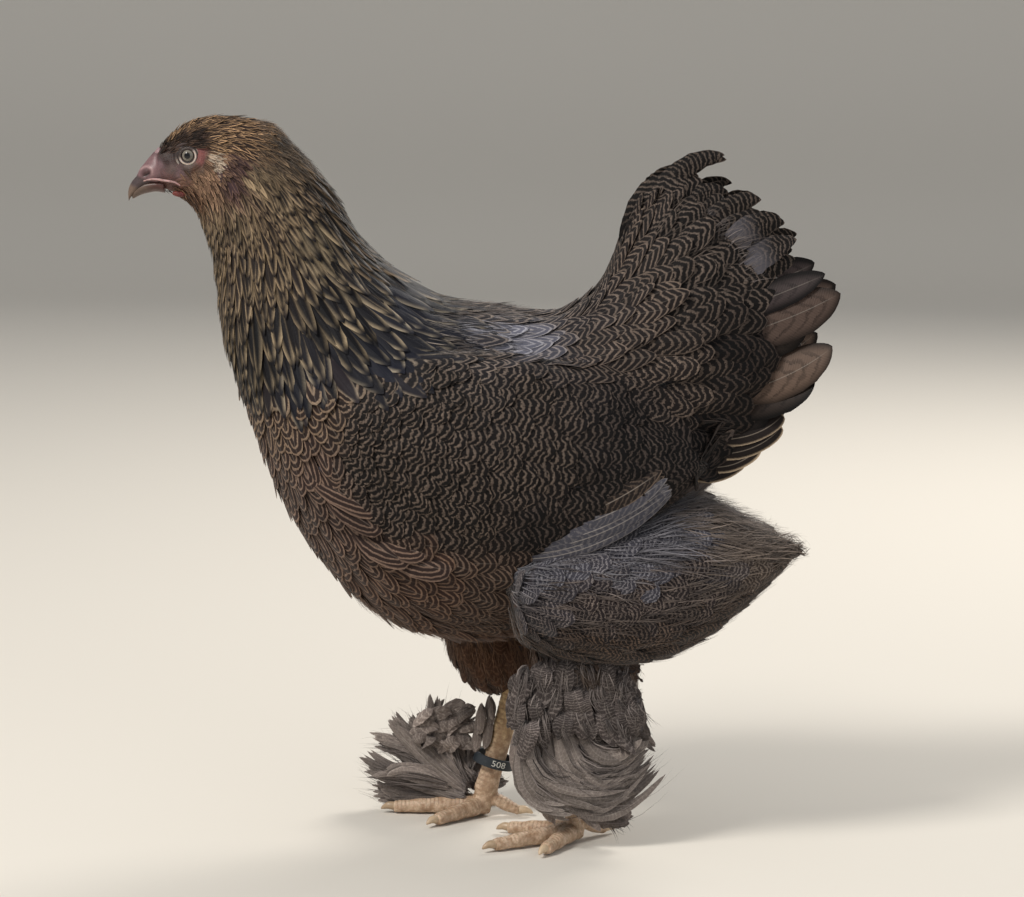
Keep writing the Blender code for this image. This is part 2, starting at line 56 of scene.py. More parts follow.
LOG = logging.getLogger("hen")
MM = 0.001
BIRD_CENTRE = np.array((-7.65, 0.0, 0.0))  # what the solids take as their middle
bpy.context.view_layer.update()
FLOOR_GAP = 0.0006  # metres that every vane keeps above the floor
MIDDLE_HEIGHT = 250  # of the line round which feathers are sorted for the baking map
ROOT = "root"
SIDES = (("left", -1.0), ("right", 1.0))
STANCE = 38.0  # each foot's distance from the middle plane
ANKLE_X = {"left": 62.0, "right": -2.0}
TOE_TURN = {"left": 30.0, "right": 4.0}
ANKLE_HEIGHT, HOCK_RISE, HOCK_BACK = 22.0, 84.0, 24.0


def metres(points: Array | tuple) -> Array:
    """Bird millimetres as world metres."""
    return (np.asarray(points, float) - BIRD_CENTRE) * MM


def bird_mm(points: Array) -> Array:
    """World metres as bird millimetres."""
    return np.asarray(points, float) / MM + BIRD_CENTRE


def linear(*rgb: float) -> tuple[float, ...]:
    """Linear light of a colour given as 0 to 255 for the screen."""
    return tuple(
        c / 12.92 if c <= 0.04045 else ((c + 0.055) / 1.055) ** 2.4
        for c in (value / 255 for value in rgb)
    )


def table(text: str, columns: int) -> Array:
    """Rows of numbers from text."""
    return np.array(text.split(), float).reshape(-1, columns)


def unit(vectors: Array) -> Array:
    """The vectors at length one."""
    return vectors / np.maximum(np.linalg.norm(vectors, axis=-1, keepdims=True), 1e-9)


def smooth_step(value: Array | float, low: float, high: float) -> Array:
    """A soft rise from 0 at low to 1 at high."""
    share = np.clip((np.asarray(value, float) - low) / (high - low), 0, 1)
    return share * share * (3 - 2 * share)


def circle(count: int) -> Array:
    """Even turns round a full circle, from 0."""
    return np.linspace(0, 2 * math.pi, count, endpoint=False)


def bell(offset: Array, width: float, power: int = 2) -> Array:
    """A rounded peak of 1 where the offset is 0."""
    return np.exp(-((offset / width) ** power))


def folded(points: Array) -> Array:
    """The places, with their distance from the middle plane for y."""
    return np.stack([points[:, 0], np.abs(points[:, 1]), points[:, 2]], 1)


def nearness(points: Array, places: Array, least: float, power: float) -> Array:
    """The share of each place at each point, by an inverse power of their distance."""
    gap = np.linalg.norm(points[:, None] - places[None], axis=2)
    share = 1 / np.maximum(gap, least) ** power
    return share / share.sum(1, keepdims=True)


@dataclass
class Wire:
    """One output of a node, with arithmetic that adds Math nodes."""

    net: "Net"
    socket: bpy.types.NodeSocket
    vector: bool = False

    def parts(self) -> tuple["Wire", ...]:
        """The x, y and z of a vector."""
        node = self.net.add("ShaderNodeSeparateXYZ", {0: self})
        return tuple(Wire(self.net, out) for out in node.outputs)


def operator(operation: str, swap: bool = False) -> Callable:
    """A method that joins a wire and its operands by a Math node, in turn or swapped."""
    def method(wire: Wire, *others: object) -> Wire:
        """The node's result."""
        return wire.net.join(operation, *((*others, wire) if swap else (wire, *others)))
    return method


for sign, meaning in {
    "add": "ADD", "radd": "ADD", "sub": "SUBTRACT", "mul": "MULTIPLY", "rmul": "MULTIPLY",
    "truediv": "DIVIDE", "pow": "POWER", "abs": "ABSOLUTE",
}.items():
    setattr(Wire, f"__{sign}__", operator(meaning))
Wire.__rsub__ = operator("SUBTRACT", swap=True)


class Net:
    """Builds a node tree from short calls."""

    def __init__(self, tree: bpy.types.NodeTree) -> None:
        """Starts on an empty tree.

        Args:
            tree: The tree that nodes are added to.
        """
        self.tree = tree
        tree.nodes.clear()

    def add(self, kind: str, values: dict | None = None, **settings: object) -> bpy.types.Node:
        """Adds a node.

        Args:
            kind: Blender's type name of the node.
            values: What goes into its inputs, by name or number.
            settings: Its properties.

        Returns:
            The node.
        """
        node = self.tree.nodes.new(kind)
        for name, value in settings.items():
            setattr(node, name, value)
        for name, value in (values or {}).items():
            self.feed(self.socket(node.inputs, name), value)
        return node

    @staticmethod
    def socket(sockets: object, name: str | int) -> bpy.types.NodeSocket:
        """The enabled socket of that name or number."""
        if isinstance(name, int):
            return sockets[name]
        return next(s for s in sockets if s.enabled and s.name == name)

    def feed(self, socket: bpy.types.NodeSocket, value: object) -> None:
        """Links a wire to a socket, or sets the socket's own value."""
        if isinstance(value, Wire):
            value = value.socket
        if isinstance(value, bpy.types.NodeSocket):
            self.tree.links.new(value, socket)
        else:
            socket.default_value = value

    def out(self, node: bpy.types.Node, name: str | int = 0, vector: bool = False) -> Wire:
        """One output of a node as a wire."""
        return Wire(self, self.socket(node.outputs, name), vector)

    def join(self, operation: str, *values: object) -> Wire:
        """A Math or Vector Math node, by what goes in."""
        if any(isinstance(v, Wire) and v.vector for v in values):
            scalar = [v for v in values if not isinstance(v, tuple) and not getattr(v, "vector", False)]
            if operation == "MULTIPLY" and scalar:
                wire = next(v for v in values if isinstance(v, Wire) and v.vector)
                node = self.add("ShaderNodeVectorMath", {0: wire, 3: scalar[0]}, operation="SCALE")
                return self.out(node, 0, True)
            inputs = dict(enumerate(values))
            node = self.add("ShaderNodeVectorMath", inputs, operation=operation)
            if operation in ("DOT_PRODUCT", "LENGTH"):
                return self.out(node, "Value")
            return self.out(node, 0, True)
        node = self.add("ShaderNodeMath", dict(enumerate(values)), operation=operation)
        return self.out(node, 0)

    def cross(self, first: Wire, second: Wire) -> Wire:
        """The cross product of two vectors."""
        return self.join("CROSS_PRODUCT", first, second)

    def vector(self, x: object, y: object, z: object) -> Wire:
        """A vector from three numbers."""
        return self.out(self.add("ShaderNodeCombineXYZ", {0: x, 1: y, 2: z}), 0, True)

    def ramp(self, value: Wire, low: float, high: float, start: float = 0.0, end: float = 1.0) -> Wire:
        """A soft step of value between low and high, from start to end."""
        inputs = {"Value": value, "From Min": low, "From Max": high, "To Min": start, "To Max": end}
        return self.out(self.add("ShaderNodeMapRange", inputs, interpolation_type="SMOOTHSTEP"))

    def blend(self, share: object, first: object, second: object) -> Wire:
        """A mix of two colours."""
        node = self.add("ShaderNodeMix", {0: share}, data_type="RGBA")
        for number, value in ((6, first), (7, second)):
            if isinstance(value, tuple):
                value = (*value[:3], 1.0)
            self.feed(node.inputs[number], value)
        return Wire(self, node.outputs[2], True)

    def noise(self, place: Wire | None, scale: float, detail: float = 2.0, rough: float = 0.5) -> Wire:
        """Noise from 0 to 1 at a place."""
        inputs = {"Scale": scale, "Detail": detail, "Roughness": rough}
        if place is not None:
            inputs["Vector"] = place
        return self.out(self.add("ShaderNodeTexNoise", inputs), 0)

    def chance(self, seed: Wire) -> Wire:
        """An even random number for each value of the seed."""
        return self.out(self.add("ShaderNodeTexWhiteNoise", {"W": seed}, noise_dimensions="1D"), "Value")

    def own(self, name: str, vector: bool = True) -> Wire:
        """A vector or a number that the piece carries under this name."""
        node = self.add("ShaderNodeAttribute", attribute_name=name, attribute_type="GEOMETRY")
        return Wire(self, node.outputs["Vector" if vector else "Fac"], vector)

    def pores(self, place: Wire, scale: float) -> Wire:
        """Distance from the middle of small cells."""
        return self.out(self.add("ShaderNodeTexVoronoi", {"Vector": place, "Scale": scale}), 0)

    def object_place(self) -> Wire:
        """The piece's own coordinates, in metres."""
        return Wire(self, self.add("ShaderNodeTexCoord").outputs["Object"], True)

    def bump(self, height: Wire, distance: float, strength: float = 1.0) -> bpy.types.NodeSocket:
        """A normal bent by a height of so many metres."""
        inputs = {"Height": height, "Distance": distance, "Strength": strength}
        return self.add("ShaderNodeBump", inputs).outputs[0]

    def principled(self, colour: object, **values: object) -> bpy.types.Node:
        """The surface shader, linked to the output."""
        inputs = {name.replace("_", " "): value for name, value in values.items()}
        inputs["Base Color"] = (*colour[:3], 1.0) if isinstance(colour, tuple) else colour
        shader = self.add("ShaderNodeBsdfPrincipled", inputs)
        end = self.add("ShaderNodeOutputMaterial")
        self.tree.links.new(shader.outputs[0], end.inputs[0])
        return shader


@dataclass(frozen=True)
class Finish:
    """A material by its name; each kind paints its own nodes."""

    name: str

    def make(self) -> Material:
        """The finished material."""
        made = bpy.data.materials.new(self.name)
        made.use_nodes = True
        self.paint(Net(made.node_tree))
        return made

    def paint(self, net: Net) -> None:
        """Adds the nodes."""
        raise NotImplementedError


@dataclass(frozen=True)
class VaneFinish(Finish):
    """Finish of feathers whose vanes carry their colours and sizes."""

    pencil: float = 1.0
    lace: float = 0.4
    tip_lace: float = 1.0
    crisp: float = 0.25
    chevron: float = 0.4
    wobble: float = 1.0
    scallop: float = 1.1
    shaft: float = 0.0
    barb: float = 0.35
    barb_pitch: float = 0.75
    roughness: float = 0.62
    sheen: float = 0.03
    uneven: float = 0.16
    down: tuple[float, ...] = linear(92, 90, 98)

    def paint(self, net: Net) -> None:
        """Adds the nodes."""
        across, tip, half = net.own("vane").parts()
        along, downy, chance = net.own("blade").parts()
        style, period, lace = net.own("trait").parts()
        ground, mark = net.own("ground"), net.own("mark")
        luck = [net.chance(chance + k * 1.37) for k in range(3)]
        off = abs(across)
        side = net.join("MAXIMUM", half - off, 0.0)
        broad = net.noise(net.vector(across * 0.15, tip * 0.11, chance * 60.0), 1.0, 2.0)
        close = net.noise(net.vector(across, tip, chance * 40.0), 0.8, 1.0)
        warp = (broad - 0.5) * (4.2 * self.wobble) + (close - 0.5) * (2.2 * self.wobble)
        bow = abs(net.join("SINE", off * 0.46 + luck[0] * 1.4)) * self.scallop
        stack = tip - off * self.chevron - off * off * 0.03 + bow + warp
        edge = net.join("SMOOTH_MIN", side * 0.95, tip * 0.75, 3.0)
        course = stack + (edge + warp * 0.5 - stack) * style
        wave = net.join("SINE", course * (2 * math.pi) / period)
        worn = net.ramp(close + broad * 0.5, 0.45, 0.85, 1.0, 0.6)
        bands = net.ramp(wave, 0.15, 0.95) * worn * self.pencil
        rim_edge = net.join("MINIMUM", side * 0.95, tip * 0.8) + (close - 0.5) * 0.5
        rim = net.ramp(rim_edge / lace, self.crisp, 1.3, 1.0, 0.0)
        rim = rim * net.ramp(tip / lace, 0.8, 3.6, self.tip_lace, 1.0)
        marks = net.join("MAXIMUM", bands, rim * (luck[1] * 0.6 + 0.55) * self.lace)
        colour = net.blend(marks * net.ramp(along, 0.1, 0.35), ground, mark)
        quill = net.ramp(off, 0.15, 0.5, 1.0, 0.0) * net.ramp(along, 0.8, 1.0, 1.0, 0.0)
        colour = net.blend(quill * self.shaft, colour, net.blend(0.5, mark, linear(190, 180, 168)))
        clump = net.noise(net.vector(off * 1.1 + tip, across * 0.2, chance * 90.0), 1.3, 3.0)
        fluff = net.ramp(along - downy + (clump - 0.5) * 0.25, -0.2, 0.14, 1.0, 0.0)
        colour = net.blend(fluff, colour, self.down)
        barbs = net.join("SINE", (off * 0.85 + tip * 0.8) * (2 * math.pi / self.barb_pitch))
        light = 1.0 + (luck[2] - 0.5) * (2 * self.uneven)
        light = light + (clump - 0.5) * (1.1 * self.barb) + barbs * (0.1 * self.barb)
        height = barbs * (0.5 * self.barb) + clump * (0.9 * self.barb) + quill * 1.2
        net.principled(
            colour * light, Roughness=self.roughness, Specular_IOR_Level=0.1, Sheen_Weight=self.sheen,
            Sheen_Roughness=0.5, Normal=net.bump(height, 0.0002, 0.6),
        )


@dataclass(frozen=True)
class SkinFinish(Finish):
    """Finish of the one skin: bare face, and the coat's own markings under the feathers."""

    def paint(self, net: Net) -> None:
        """Adds the nodes."""
        place = net.object_place()
        ground, mark = net.own("ground"), net.own("mark")
        bare = net.own("bare", False)
        wave = net.join("SINE", net.noise(place, 190.0, 1.0) * 40.0)
        coat = net.blend(net.ramp(wave, 0.0, 0.8) * 0.5, ground * 0.8, mark * 0.8)
        grain = net.noise(place, 1100.0, 4.0, 0.65)
        pores = net.pores(place, 900.0)
        patch = net.noise(place, 240.0, 3.0)
        flesh = net.blend(net.ramp(patch, 0.3, 0.75), ground, mark) * (0.62 + grain * 0.56 + pores * 0.25)
        net.principled(
            net.blend(bare, coat, flesh), Roughness=0.55, Specular_IOR_Level=0.35, Subsurface_Weight=0.06,
            Subsurface_Scale=0.002, Normal=net.bump(grain + patch * 0.6 - pores * 0.7, 0.0003, 0.8),
        )


@dataclass(frozen=True)
class FleshFinish(Finish):
    """Finish of bare comb, lobes, wattles and lids."""

    pale: tuple[float, ...]
    deep: tuple[float, ...]
    by_shade: bool = False

    def paint(self, net: Net) -> None:
        """Adds the nodes."""
        place = net.object_place()
        pores = net.pores(place, 1100.0)
        patch = net.noise(place, 260.0, 3.0)
        share = net.ramp(patch + pores * 0.3, 0.3, 0.85)
        if self.by_shade:
            # The lids' shade attribute: their pale rings, darkened by the brow's painted shadow.
            share = net.own("shade", False) * (0.8 + patch * 0.4)
        net.principled(
            net.blend(share, self.deep, self.pale), Roughness=0.5, Specular_IOR_Level=0.4,
            Subsurface_Weight=0.1, Subsurface_Scale=0.0015,
            Normal=net.bump(pores * -1.0 + patch, 0.00025, 0.8),
        )


@dataclass(frozen=True)
class BillFinish(Finish):
    """Smooth horn in the piece's own colours."""

    def paint(self, net: Net) -> None:
        """Adds the nodes."""
        place = net.object_place()
        streak = net.noise(net.join("MULTIPLY", place, (420.0, 1500.0, 700.0)), 1.0, 3.0)
        cloud = net.noise(place, 420.0, 3.0)
        net.principled(
            net.own("ground") * (0.5 + streak * 0.45 + cloud * 0.55), Roughness=0.42,
            Specular_IOR_Level=0.35, Normal=net.bump(streak + cloud, 0.00015, 0.7),
        )


@dataclass(frozen=True)
class HornFinish(Finish):
    """Finish of claws, from a root colour to a tip colour along a direction."""

    root: tuple[float, ...]
    tip: tuple[float, ...]
    start: tuple[float, float, float]
    way: tuple[float, float, float]
    reach: float

    def paint(self, net: Net) -> None:
        """Adds the nodes."""
        place = net.object_place()
        away = net.join("SUBTRACT", place, tuple(metres(self.start)))
        along = net.join("DOT_PRODUCT", away, tuple(unit(np.array(self.way)))) / (self.reach * MM)
        streak = net.noise(net.join("MULTIPLY", place, (420.0, 1500.0, 900.0)), 1.0, 3.0)
        cloud = net.noise(place, 330.0, 2.0)
        colour = net.blend(net.ramp(along + (streak - 0.5) * 0.5, 0.1, 0.95), self.root, self.tip)
        colour = colour * (0.55 + streak * 0.35 + cloud * 0.55)
        net.principled(
            colour, Roughness=0.36, Specular_IOR_Level=0.45,
            Normal=net.bump(streak + cloud * 0.5, 0.00012, 0.6),
        )


@dataclass(frozen=True)
class ScaleFinish(Finish):
    """Finish of shanks and toes."""

    def paint(self, net: Net) -> None:
        """Adds the nodes."""
        place = net.object_place()
        groove, shade = net.own("groove", False), net.own("shade", False)
        patch = net.noise(place, 190.0, 4.0, 0.6)
        cells = net.pores(place, 620.0)
        colour = net.blend(net.ramp(patch, 0.3, 0.72), linear(160, 130, 104), linear(216, 190, 164))
        upper = net.blend(net.ramp(patch, 0.35, 0.7), linear(142, 112, 78), linear(200, 170, 124))
        colour = net.blend(shade, colour, upper)
        # Painted shade in the grooves between scales.
        colour = net.blend(groove * 0.6, colour, linear(96, 70, 48))
        colour = net.blend(net.ramp(cells, 0.25, 0.6) * 0.2, colour, linear(124, 96, 66))
        net.principled(
            colour, Roughness=0.55, Specular_IOR_Level=0.35, Subsurface_Weight=0.05,
            Subsurface_Scale=0.001, Normal=net.bump(cells * -0.7 + patch * 0.6, 0.00022, 0.7),
        )


@dataclass(frozen=True)
class EyeFinish(Finish):
    """Finish of an eyeball: dark pupil, grey-green iris with rays, dark limbus."""

    centre: tuple[float, float, float]
    axis: tuple[float, float, float]
    pupil: float = 2.15
    iris: float = 3.95

    def paint(self, net: Net) -> None:
        """Adds the nodes."""
        place = net.object_place()
        away = net.join("SUBTRACT", place, tuple(metres(self.centre))) * (1 / MM)
        axis = tuple(unit(np.array(self.axis)))
        depth = net.join("DOT_PRODUCT", away, axis)
        across = net.join("LENGTH", net.cross(away, net.vector(*axis)))
        ray = net.noise(net.join("NORMALIZE", away) * 9.0, 3.0, 3.0)
        fleck = net.noise(away, 1.6, 3.0)
        dark = linear(40, 32, 30)
        iris = net.blend(net.ramp(ray, 0.3, 0.7), linear(84, 79, 70), linear(142, 136, 124))
        iris = net.blend(net.ramp(across, 2.2, 3.3, 1.0, 0.0) * 0.55, iris, linear(70, 62, 52))
        iris = net.blend(net.ramp(across, self.iris - 0.35, self.iris) * 0.85, iris, dark)
        iris = iris * (0.8 + fleck * 0.4)
        pupil = net.ramp(across, self.pupil - 0.12, self.pupil + 0.12, 1.0, 0.0)
        colour = net.blend(pupil, iris, (0.004, 0.004, 0.005))
        colour = net.blend(net.ramp(across, self.iris - 0.05, self.iris + 0.25), colour, dark)
        colour = net.blend(net.ramp(depth, -1.0, 0.0, 1.0, 0.0), colour, dark)
        net.principled(
            colour, Roughness=0.2, Specular_IOR_Level=0.25, Coat_Weight=0.5, Coat_Roughness=0.03,
            Coat_IOR=1.35,
        )


@dataclass(frozen=True)
class BandFinish(Finish):
    """Finish of the leg ring's plastic, and of its plain digits."""

    colour: tuple[float, ...]
    wear: tuple[float, ...]

    def paint(self, net: Net) -> None:
        """Adds the nodes."""
        scuff = net.noise(net.object_place(), 500.0, 4.0, 0.7)
        colour = net.blend(net.ramp(scuff, 0.55, 0.8) * 0.5, self.colour, self.wear)
        net.principled(colour, Roughness=0.45, Specular_IOR_Level=0.45, Normal=net.bump(scuff, 0.0001, 0.5))


def link(obj: Obj) -> Obj:
    """Puts an object in the scene."""
    bpy.context.scene.collection.objects.link(obj)
    return obj


def mesh_object(name: str, points: Array, faces: list, smooth: bool = True) -> Obj:
    """Makes a linked mesh object.

    Args:
        name: The object's name.
        points: World metres, one row for each corner.
        faces: Corner numbers of each face.
        smooth: Whether faces are shaded round.

    Returns:
        The new object, at the origin.
    """
    mesh = bpy.data.meshes.new(name)
    mesh.from_pydata([tuple(p) for p in points], [], faces)
    mesh.update()
    if smooth:
        mesh.shade_smooth()
    return link(bpy.data.objects.new(name, mesh))


@contextmanager
def editing(obj: Obj) -> Iterator[bmesh.types.BMesh]:
    """Opens an object's mesh, and writes the edits back."""
    bm = bmesh.new()
    bm.from_mesh(obj.data)
    yield bm
    bm.to_mesh(obj.data)
    bm.free()


def poured(name: str, bm: bmesh.types.BMesh) -> Obj:
    """A linked object with the finished faces."""
    mesh = bpy.data.meshes.new(name)
    bm.to_mesh(mesh)
    bm.free()
    return link(bpy.data.objects.new(name, mesh))


def face_out(obj: Obj) -> Obj:
    """Merges doubles and turns the faces outwards."""
    with editing(obj) as bm:
        bmesh.ops.remove_doubles(bm, verts=bm.verts, dist=1e-6)
        bmesh.ops.dissolve_degenerate(bm, edges=bm.edges, dist=1e-7)
        bmesh.ops.recalc_face_normals(bm, faces=bm.faces)
    return obj


def ring_object(name: str, rings: list[Array], closed: bool = False) -> Obj:
    """A closed solid through rings of points.

    Args:
        name: The object's name.
        rings: World metres, all rings with the same number of points.
        closed: Whether the last ring joins the first, instead of both being capped.

    Returns:
        The new object.
    """
    count = len(rings[0])
    points = [p for ring in rings for p in ring]
    faces = []
    rows = len(rings)
    for r in range(rows if closed else rows - 1):
        s = (r + 1) % rows
        for i in range(count):
            j = (i + 1) % count
            faces.append((r * count + i, r * count + j, s * count + j, s * count + i))
    if not closed:
        for r in (0, rows - 1):
            points.append(np.mean(rings[r], axis=0))
            hub = len(points) - 1
            faces += [(r * count + i, r * count + (i + 1) % count, hub) for i in range(count)]
    return face_out(mesh_object(name, np.array(points), faces))


def smooth_line(knots: list | Array, count: int) -> Array:
    """Evenly stepped points on a smooth line through the given rows of numbers."""
    knots = np.asarray(knots, float)
    at = np.linspace(0, len(knots) - 1, count)
    k = np.minimum(at.astype(int), len(knots) - 2)
    t = (at - k)[:, None]
    a, b = knots[np.maximum(k - 1, 0)], knots[k]
    c, d = knots[k + 1], knots[np.minimum(k + 2, len(knots) - 1)]
    square, cube = 2 * a - 5 * b + 4 * c - d, 3 * b - a - 3 * c + d
    return 0.5 * (2 * b + (c - a) * t + square * t**2 + cube * t**3)


def coords(obj: Obj) -> Array:
    """The corner places of an object's mesh."""
    flat = np.empty(len(obj.data.vertices) * 3)
    obj.data.vertices.foreach_get("co", flat)
    return flat.reshape(-1, 3)


def set_coords(obj: Obj, points: Array) -> None:
    """Moves the corners of an object's mesh."""
    obj.data.vertices.foreach_set("co", np.ascontiguousarray(points, float).ravel())
    obj.data.update()


def corner_normals(obj: Obj) -> Array:
    """The smooth normals at an object's corners."""
    flat = np.empty(len(obj.data.vertices) * 3)
    obj.data.vertex_normals.foreach_get("vector", flat)
    return flat.reshape(-1, 3)


def relax(obj: Obj, rounds: int, share: float = 0.5, weight: Array | None = None) -> None:
    """Moves each corner towards the mean of its neighbours.

    Args:
        obj: The object whose mesh is smoothed.
        rounds: How many times.
        share: How far each time.
        weight: A share for each corner, or nothing for all alike.
    """
    edges = np.empty(len(obj.data.edges) * 2, int)
    obj.data.edges.foreach_get("vertices", edges)
    edges = edges.reshape(-1, 2)
    points = coords(obj)
    degree = np.bincount(edges.ravel(), minlength=len(points))[:, None]
    factor = share if weight is None else share * weight[:, None]
    for _ in range(rounds):
        total = np.zeros_like(points)
        for axis in range(3):
            total[:, axis] = np.bincount(edges[:, 0], points[edges[:, 1], axis], len(points))
            total[:, axis] += np.bincount(edges[:, 1], points[edges[:, 0], axis], len(points))
        points += (total / np.maximum(degree, 1) - points) * factor
    set_coords(obj, points)


def write(obj: Obj, name: str, values: Array) -> None:
    """Stores a vector, a number or a whole number at each corner, under a name."""
    values = np.asarray(values)
    whole = values.dtype.kind == "i"
    kind = "FLOAT_VECTOR" if values.ndim > 1 else "INT" if whole else "FLOAT"
    made = obj.data.attributes.new(name, kind, "POINT")
    plain = np.ascontiguousarray(values, np.int32 if whole else np.float32).ravel()
    made.data.foreach_set("vector" if values.ndim > 1 else "value", plain)


def evaluated_copy(obj: Obj, name: str) -> Obj:
    """A plain linked mesh of what an object's modifiers make."""
    graph = bpy.context.evaluated_depsgraph_get()
    graph.update()
    mesh = bpy.data.meshes.new_from_object(obj.evaluated_get(graph))
    mesh.name = name
    return link(bpy.data.objects.new(name, mesh))


def discard(*objects: Obj) -> None:
    """Removes helper objects."""
    for obj in objects:
        bpy.data.objects.remove(obj)


def largest_island(obj: Obj) -> None:
    """Keeps only the largest connected shell of a mesh."""
    with editing(obj) as bm:
        unseen, groups = set(bm.verts), []
        while unseen:
            stack, group = [unseen.pop()], []
            while stack:
                vert = stack.pop()
                group.append(vert)
                for edge in vert.link_edges:
                    other = edge.other_vert(vert)
                    if other in unseen:
                        unseen.discard(other)
                        stack.append(other)
            groups.append(group)
        for group in sorted(groups, key=len)[:-1]:
            bmesh.ops.delete(bm, geom=group, context="VERTS")


def remeshed(obj: Obj, voxel: float) -> Obj:
    """The object as one even closed shell, which takes its place and name."""
    name = obj.name
    change = obj.modifiers.new("shell", "REMESH")
    change.mode = "VOXEL"
    change.voxel_size = voxel * MM
    made = evaluated_copy(obj, name)
    discard(obj)
    made.name = name
    largest_island(made)
    made.data.shade_smooth()
    return made


def fused(name: str, nodes: list[str], voxel: float, swell: float, rounds: int) -> Obj:
    """One smooth shell round several solids.

    Args:
        name: The new object's name.
        nodes: Names of the solids.
        voxel: Edge of its faces, in millimetres.
        swell: How far each solid is grown before they are fused, in millimetres.
        rounds: How often it is smoothed.

    Returns:
        The new object.
    """
    whole = bmesh.new()
    for node in nodes:
        part = bmesh.new()
        part.from_mesh(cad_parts[node].data)
        bmesh.ops.remove_doubles(part, verts=part.verts, dist=1e-5)
        part.normal_update()
        for vert in part.verts:
            vert.co += vert.normal * swell * MM
        mesh = bpy.data.meshes.new("part")
        part.to_mesh(mesh)
        whole.from_mesh(mesh)
        part.free()
    made = remeshed(poured(name, whole), voxel)
    relax(made, rounds)
    return made


class Look(Enum):
    """Colours of the plumage: ground, marks, drawing style, line pitch, down and lace width.

    Colours are 0 to 255, as on the screen. Style 0 stacks lines along a vane, and 1 draws rings
    inside its outline.
    """

    CROWN = (42, 32, 27, 160, 128, 96, 0.8, 9.0, 0.0, 0.55)
    BROW = (24, 18, 16, 66, 50, 41, 0.8, 9.0, 0.0, 0.4)
    CHEEK = (90, 68, 55, 136, 109, 86, 0.8, 9.0, 0.0, 0.4)
    RUST = (60, 41, 32, 112, 84, 63, 0.8, 9.0, 0.0, 0.4)
    EAR = (112, 92, 76, 176, 160, 142, 0.8, 9.0, 0.0, 0.7)
    SHADE = (50, 37, 38, 92, 70, 60, 0.8, 9.0, 0.0, 0.5)
    NAPE = (22, 19, 18, 106, 89, 71, 1.0, 9.0, 0.02, 1.4)
    HACKLE_HIGH = (30, 25, 23, 142, 122, 96, 1.0, 9.0, 0.02, 1.55)
    HACKLE = (14, 13, 16, 140, 123, 98, 1.0, 9.0, 0.05, 2.8)
    HACKLE_LOW = (22, 23, 31, 138, 127, 110, 1.0, 9.0, 0.05, 2.7)
    BREAST_HIGH = (42, 32, 28, 136, 114, 94, 0.8, 3.3, 0.1, 0.8)
    BREAST = (42, 31, 28, 124, 102, 88, 0.9, 3.2, 0.1, 0.7)
    BREAST_LOW = (46, 32, 27, 118, 94, 78, 0.9, 3.3, 0.14, 0.7)
    FLANK = (38, 29, 25, 112, 93, 80, 0.4, 3.5, 0.16, 0.7)
    WING = (17, 14, 13, 106, 92, 82, 0.12, 4.3, 0.06, 0.6)
    # Painted shade over darker plumage: the wing's rear, darkened where it turns from the light.
    WING_LOW = (11, 9, 9, 74, 64, 59, 0.12, 4.4, 0.06, 0.6)
    SADDLE = (28, 24, 24, 128, 114, 104, 0.85, 3.4, 0.2, 0.8)
    # Painted sheen: a pale blue-grey patch of light on the saddle.
    SADDLE_BLUE = (100, 100, 112, 166, 164, 170, 0.85, 3.6, 0.45, 0.7)
    TAIL_ROOT = (26, 21, 20, 112, 97, 86, 0.25, 4.3, 0.1, 0.7)
    TAIL = (18, 15, 14, 104, 91, 82, 0.3, 4.9, 0.08, 0.7)
    # Painted shade: the lower tail coverts, darkened where the light falls off.
    TAIL_LOW = (9, 7, 7, 58, 48, 43, 0.3, 4.9, 0.08, 0.7)
    VENT = (84, 72, 66, 126, 110, 100, 0.3, 4.0, 0.5, 0.6)
    BELLY = (70, 47, 34, 122, 92, 70, 0.3, 3.8, 0.35, 0.6)
    CUSHION = (34, 28, 28, 118, 105, 97, 0.12, 3.1, 0.06, 0.6)
    # Painted shade with browner marks: the thigh fluff's low side, darkened under the body.
    CUSHION_LOW = (24, 18, 15, 104, 84, 70, 0.12, 3.1, 0.0, 0.6)
    CUSHION_TIP = (60, 51, 46, 140, 125, 113, 0.12, 3.2, 0.05, 0.6)
    CUSHION_BLUE = (56, 55, 62, 128, 125, 129, 0.12, 3.1, 0.2, 0.6)
    DRUM = (62, 52, 46, 112, 98, 88, 0.3, 3.5, 0.25, 0.6)
    HOCK = (64, 57, 55, 128, 118, 113, 0.12, 3.4, 0.0, 0.6)
    PLUME = (114, 104, 98, 172, 161, 152, 0.3, 3.6, 0.0, 0.8)
    TUFT = (112, 101, 95, 172, 160, 151, 0.3, 3.6, 0.0, 0.8)

    def row(self) -> list[float]:
        """The look as ten numbers, with its colours in linear light."""
        return [*linear(*self.value[:3]), *linear(*self.value[3:6]), *self.value[6:]]


class Tract(Enum):
    """Runs of feathers that are laid as one coat piece."""

    HEAD = "head"
    HACKLE = "hackle"
    BREAST = "breast"
    BACK = "back"
    WING = "wing"
    TAIL = "tail"
    DOWN = "down"
    CUSHION = "cushion"
    DRUM = "drum"


def anchors(text: str) -> list[tuple]:
    """Anchors from lines of text.

    Args:
        text: Under each tract's name, lines of a look, and of the place, the way the feathers lie,
            and their length, width and spacing. A place is x, distance from the middle plane and z.

    Returns:
        Tract, look and the nine numbers of each anchor.
    """
    made = []
    for line in text.strip().splitlines():
        name, *numbers = line.split()
        if numbers:
            made.append((tract, Look[name], np.array(numbers, float)))
        else:
            tract = Tract[name]
    return made


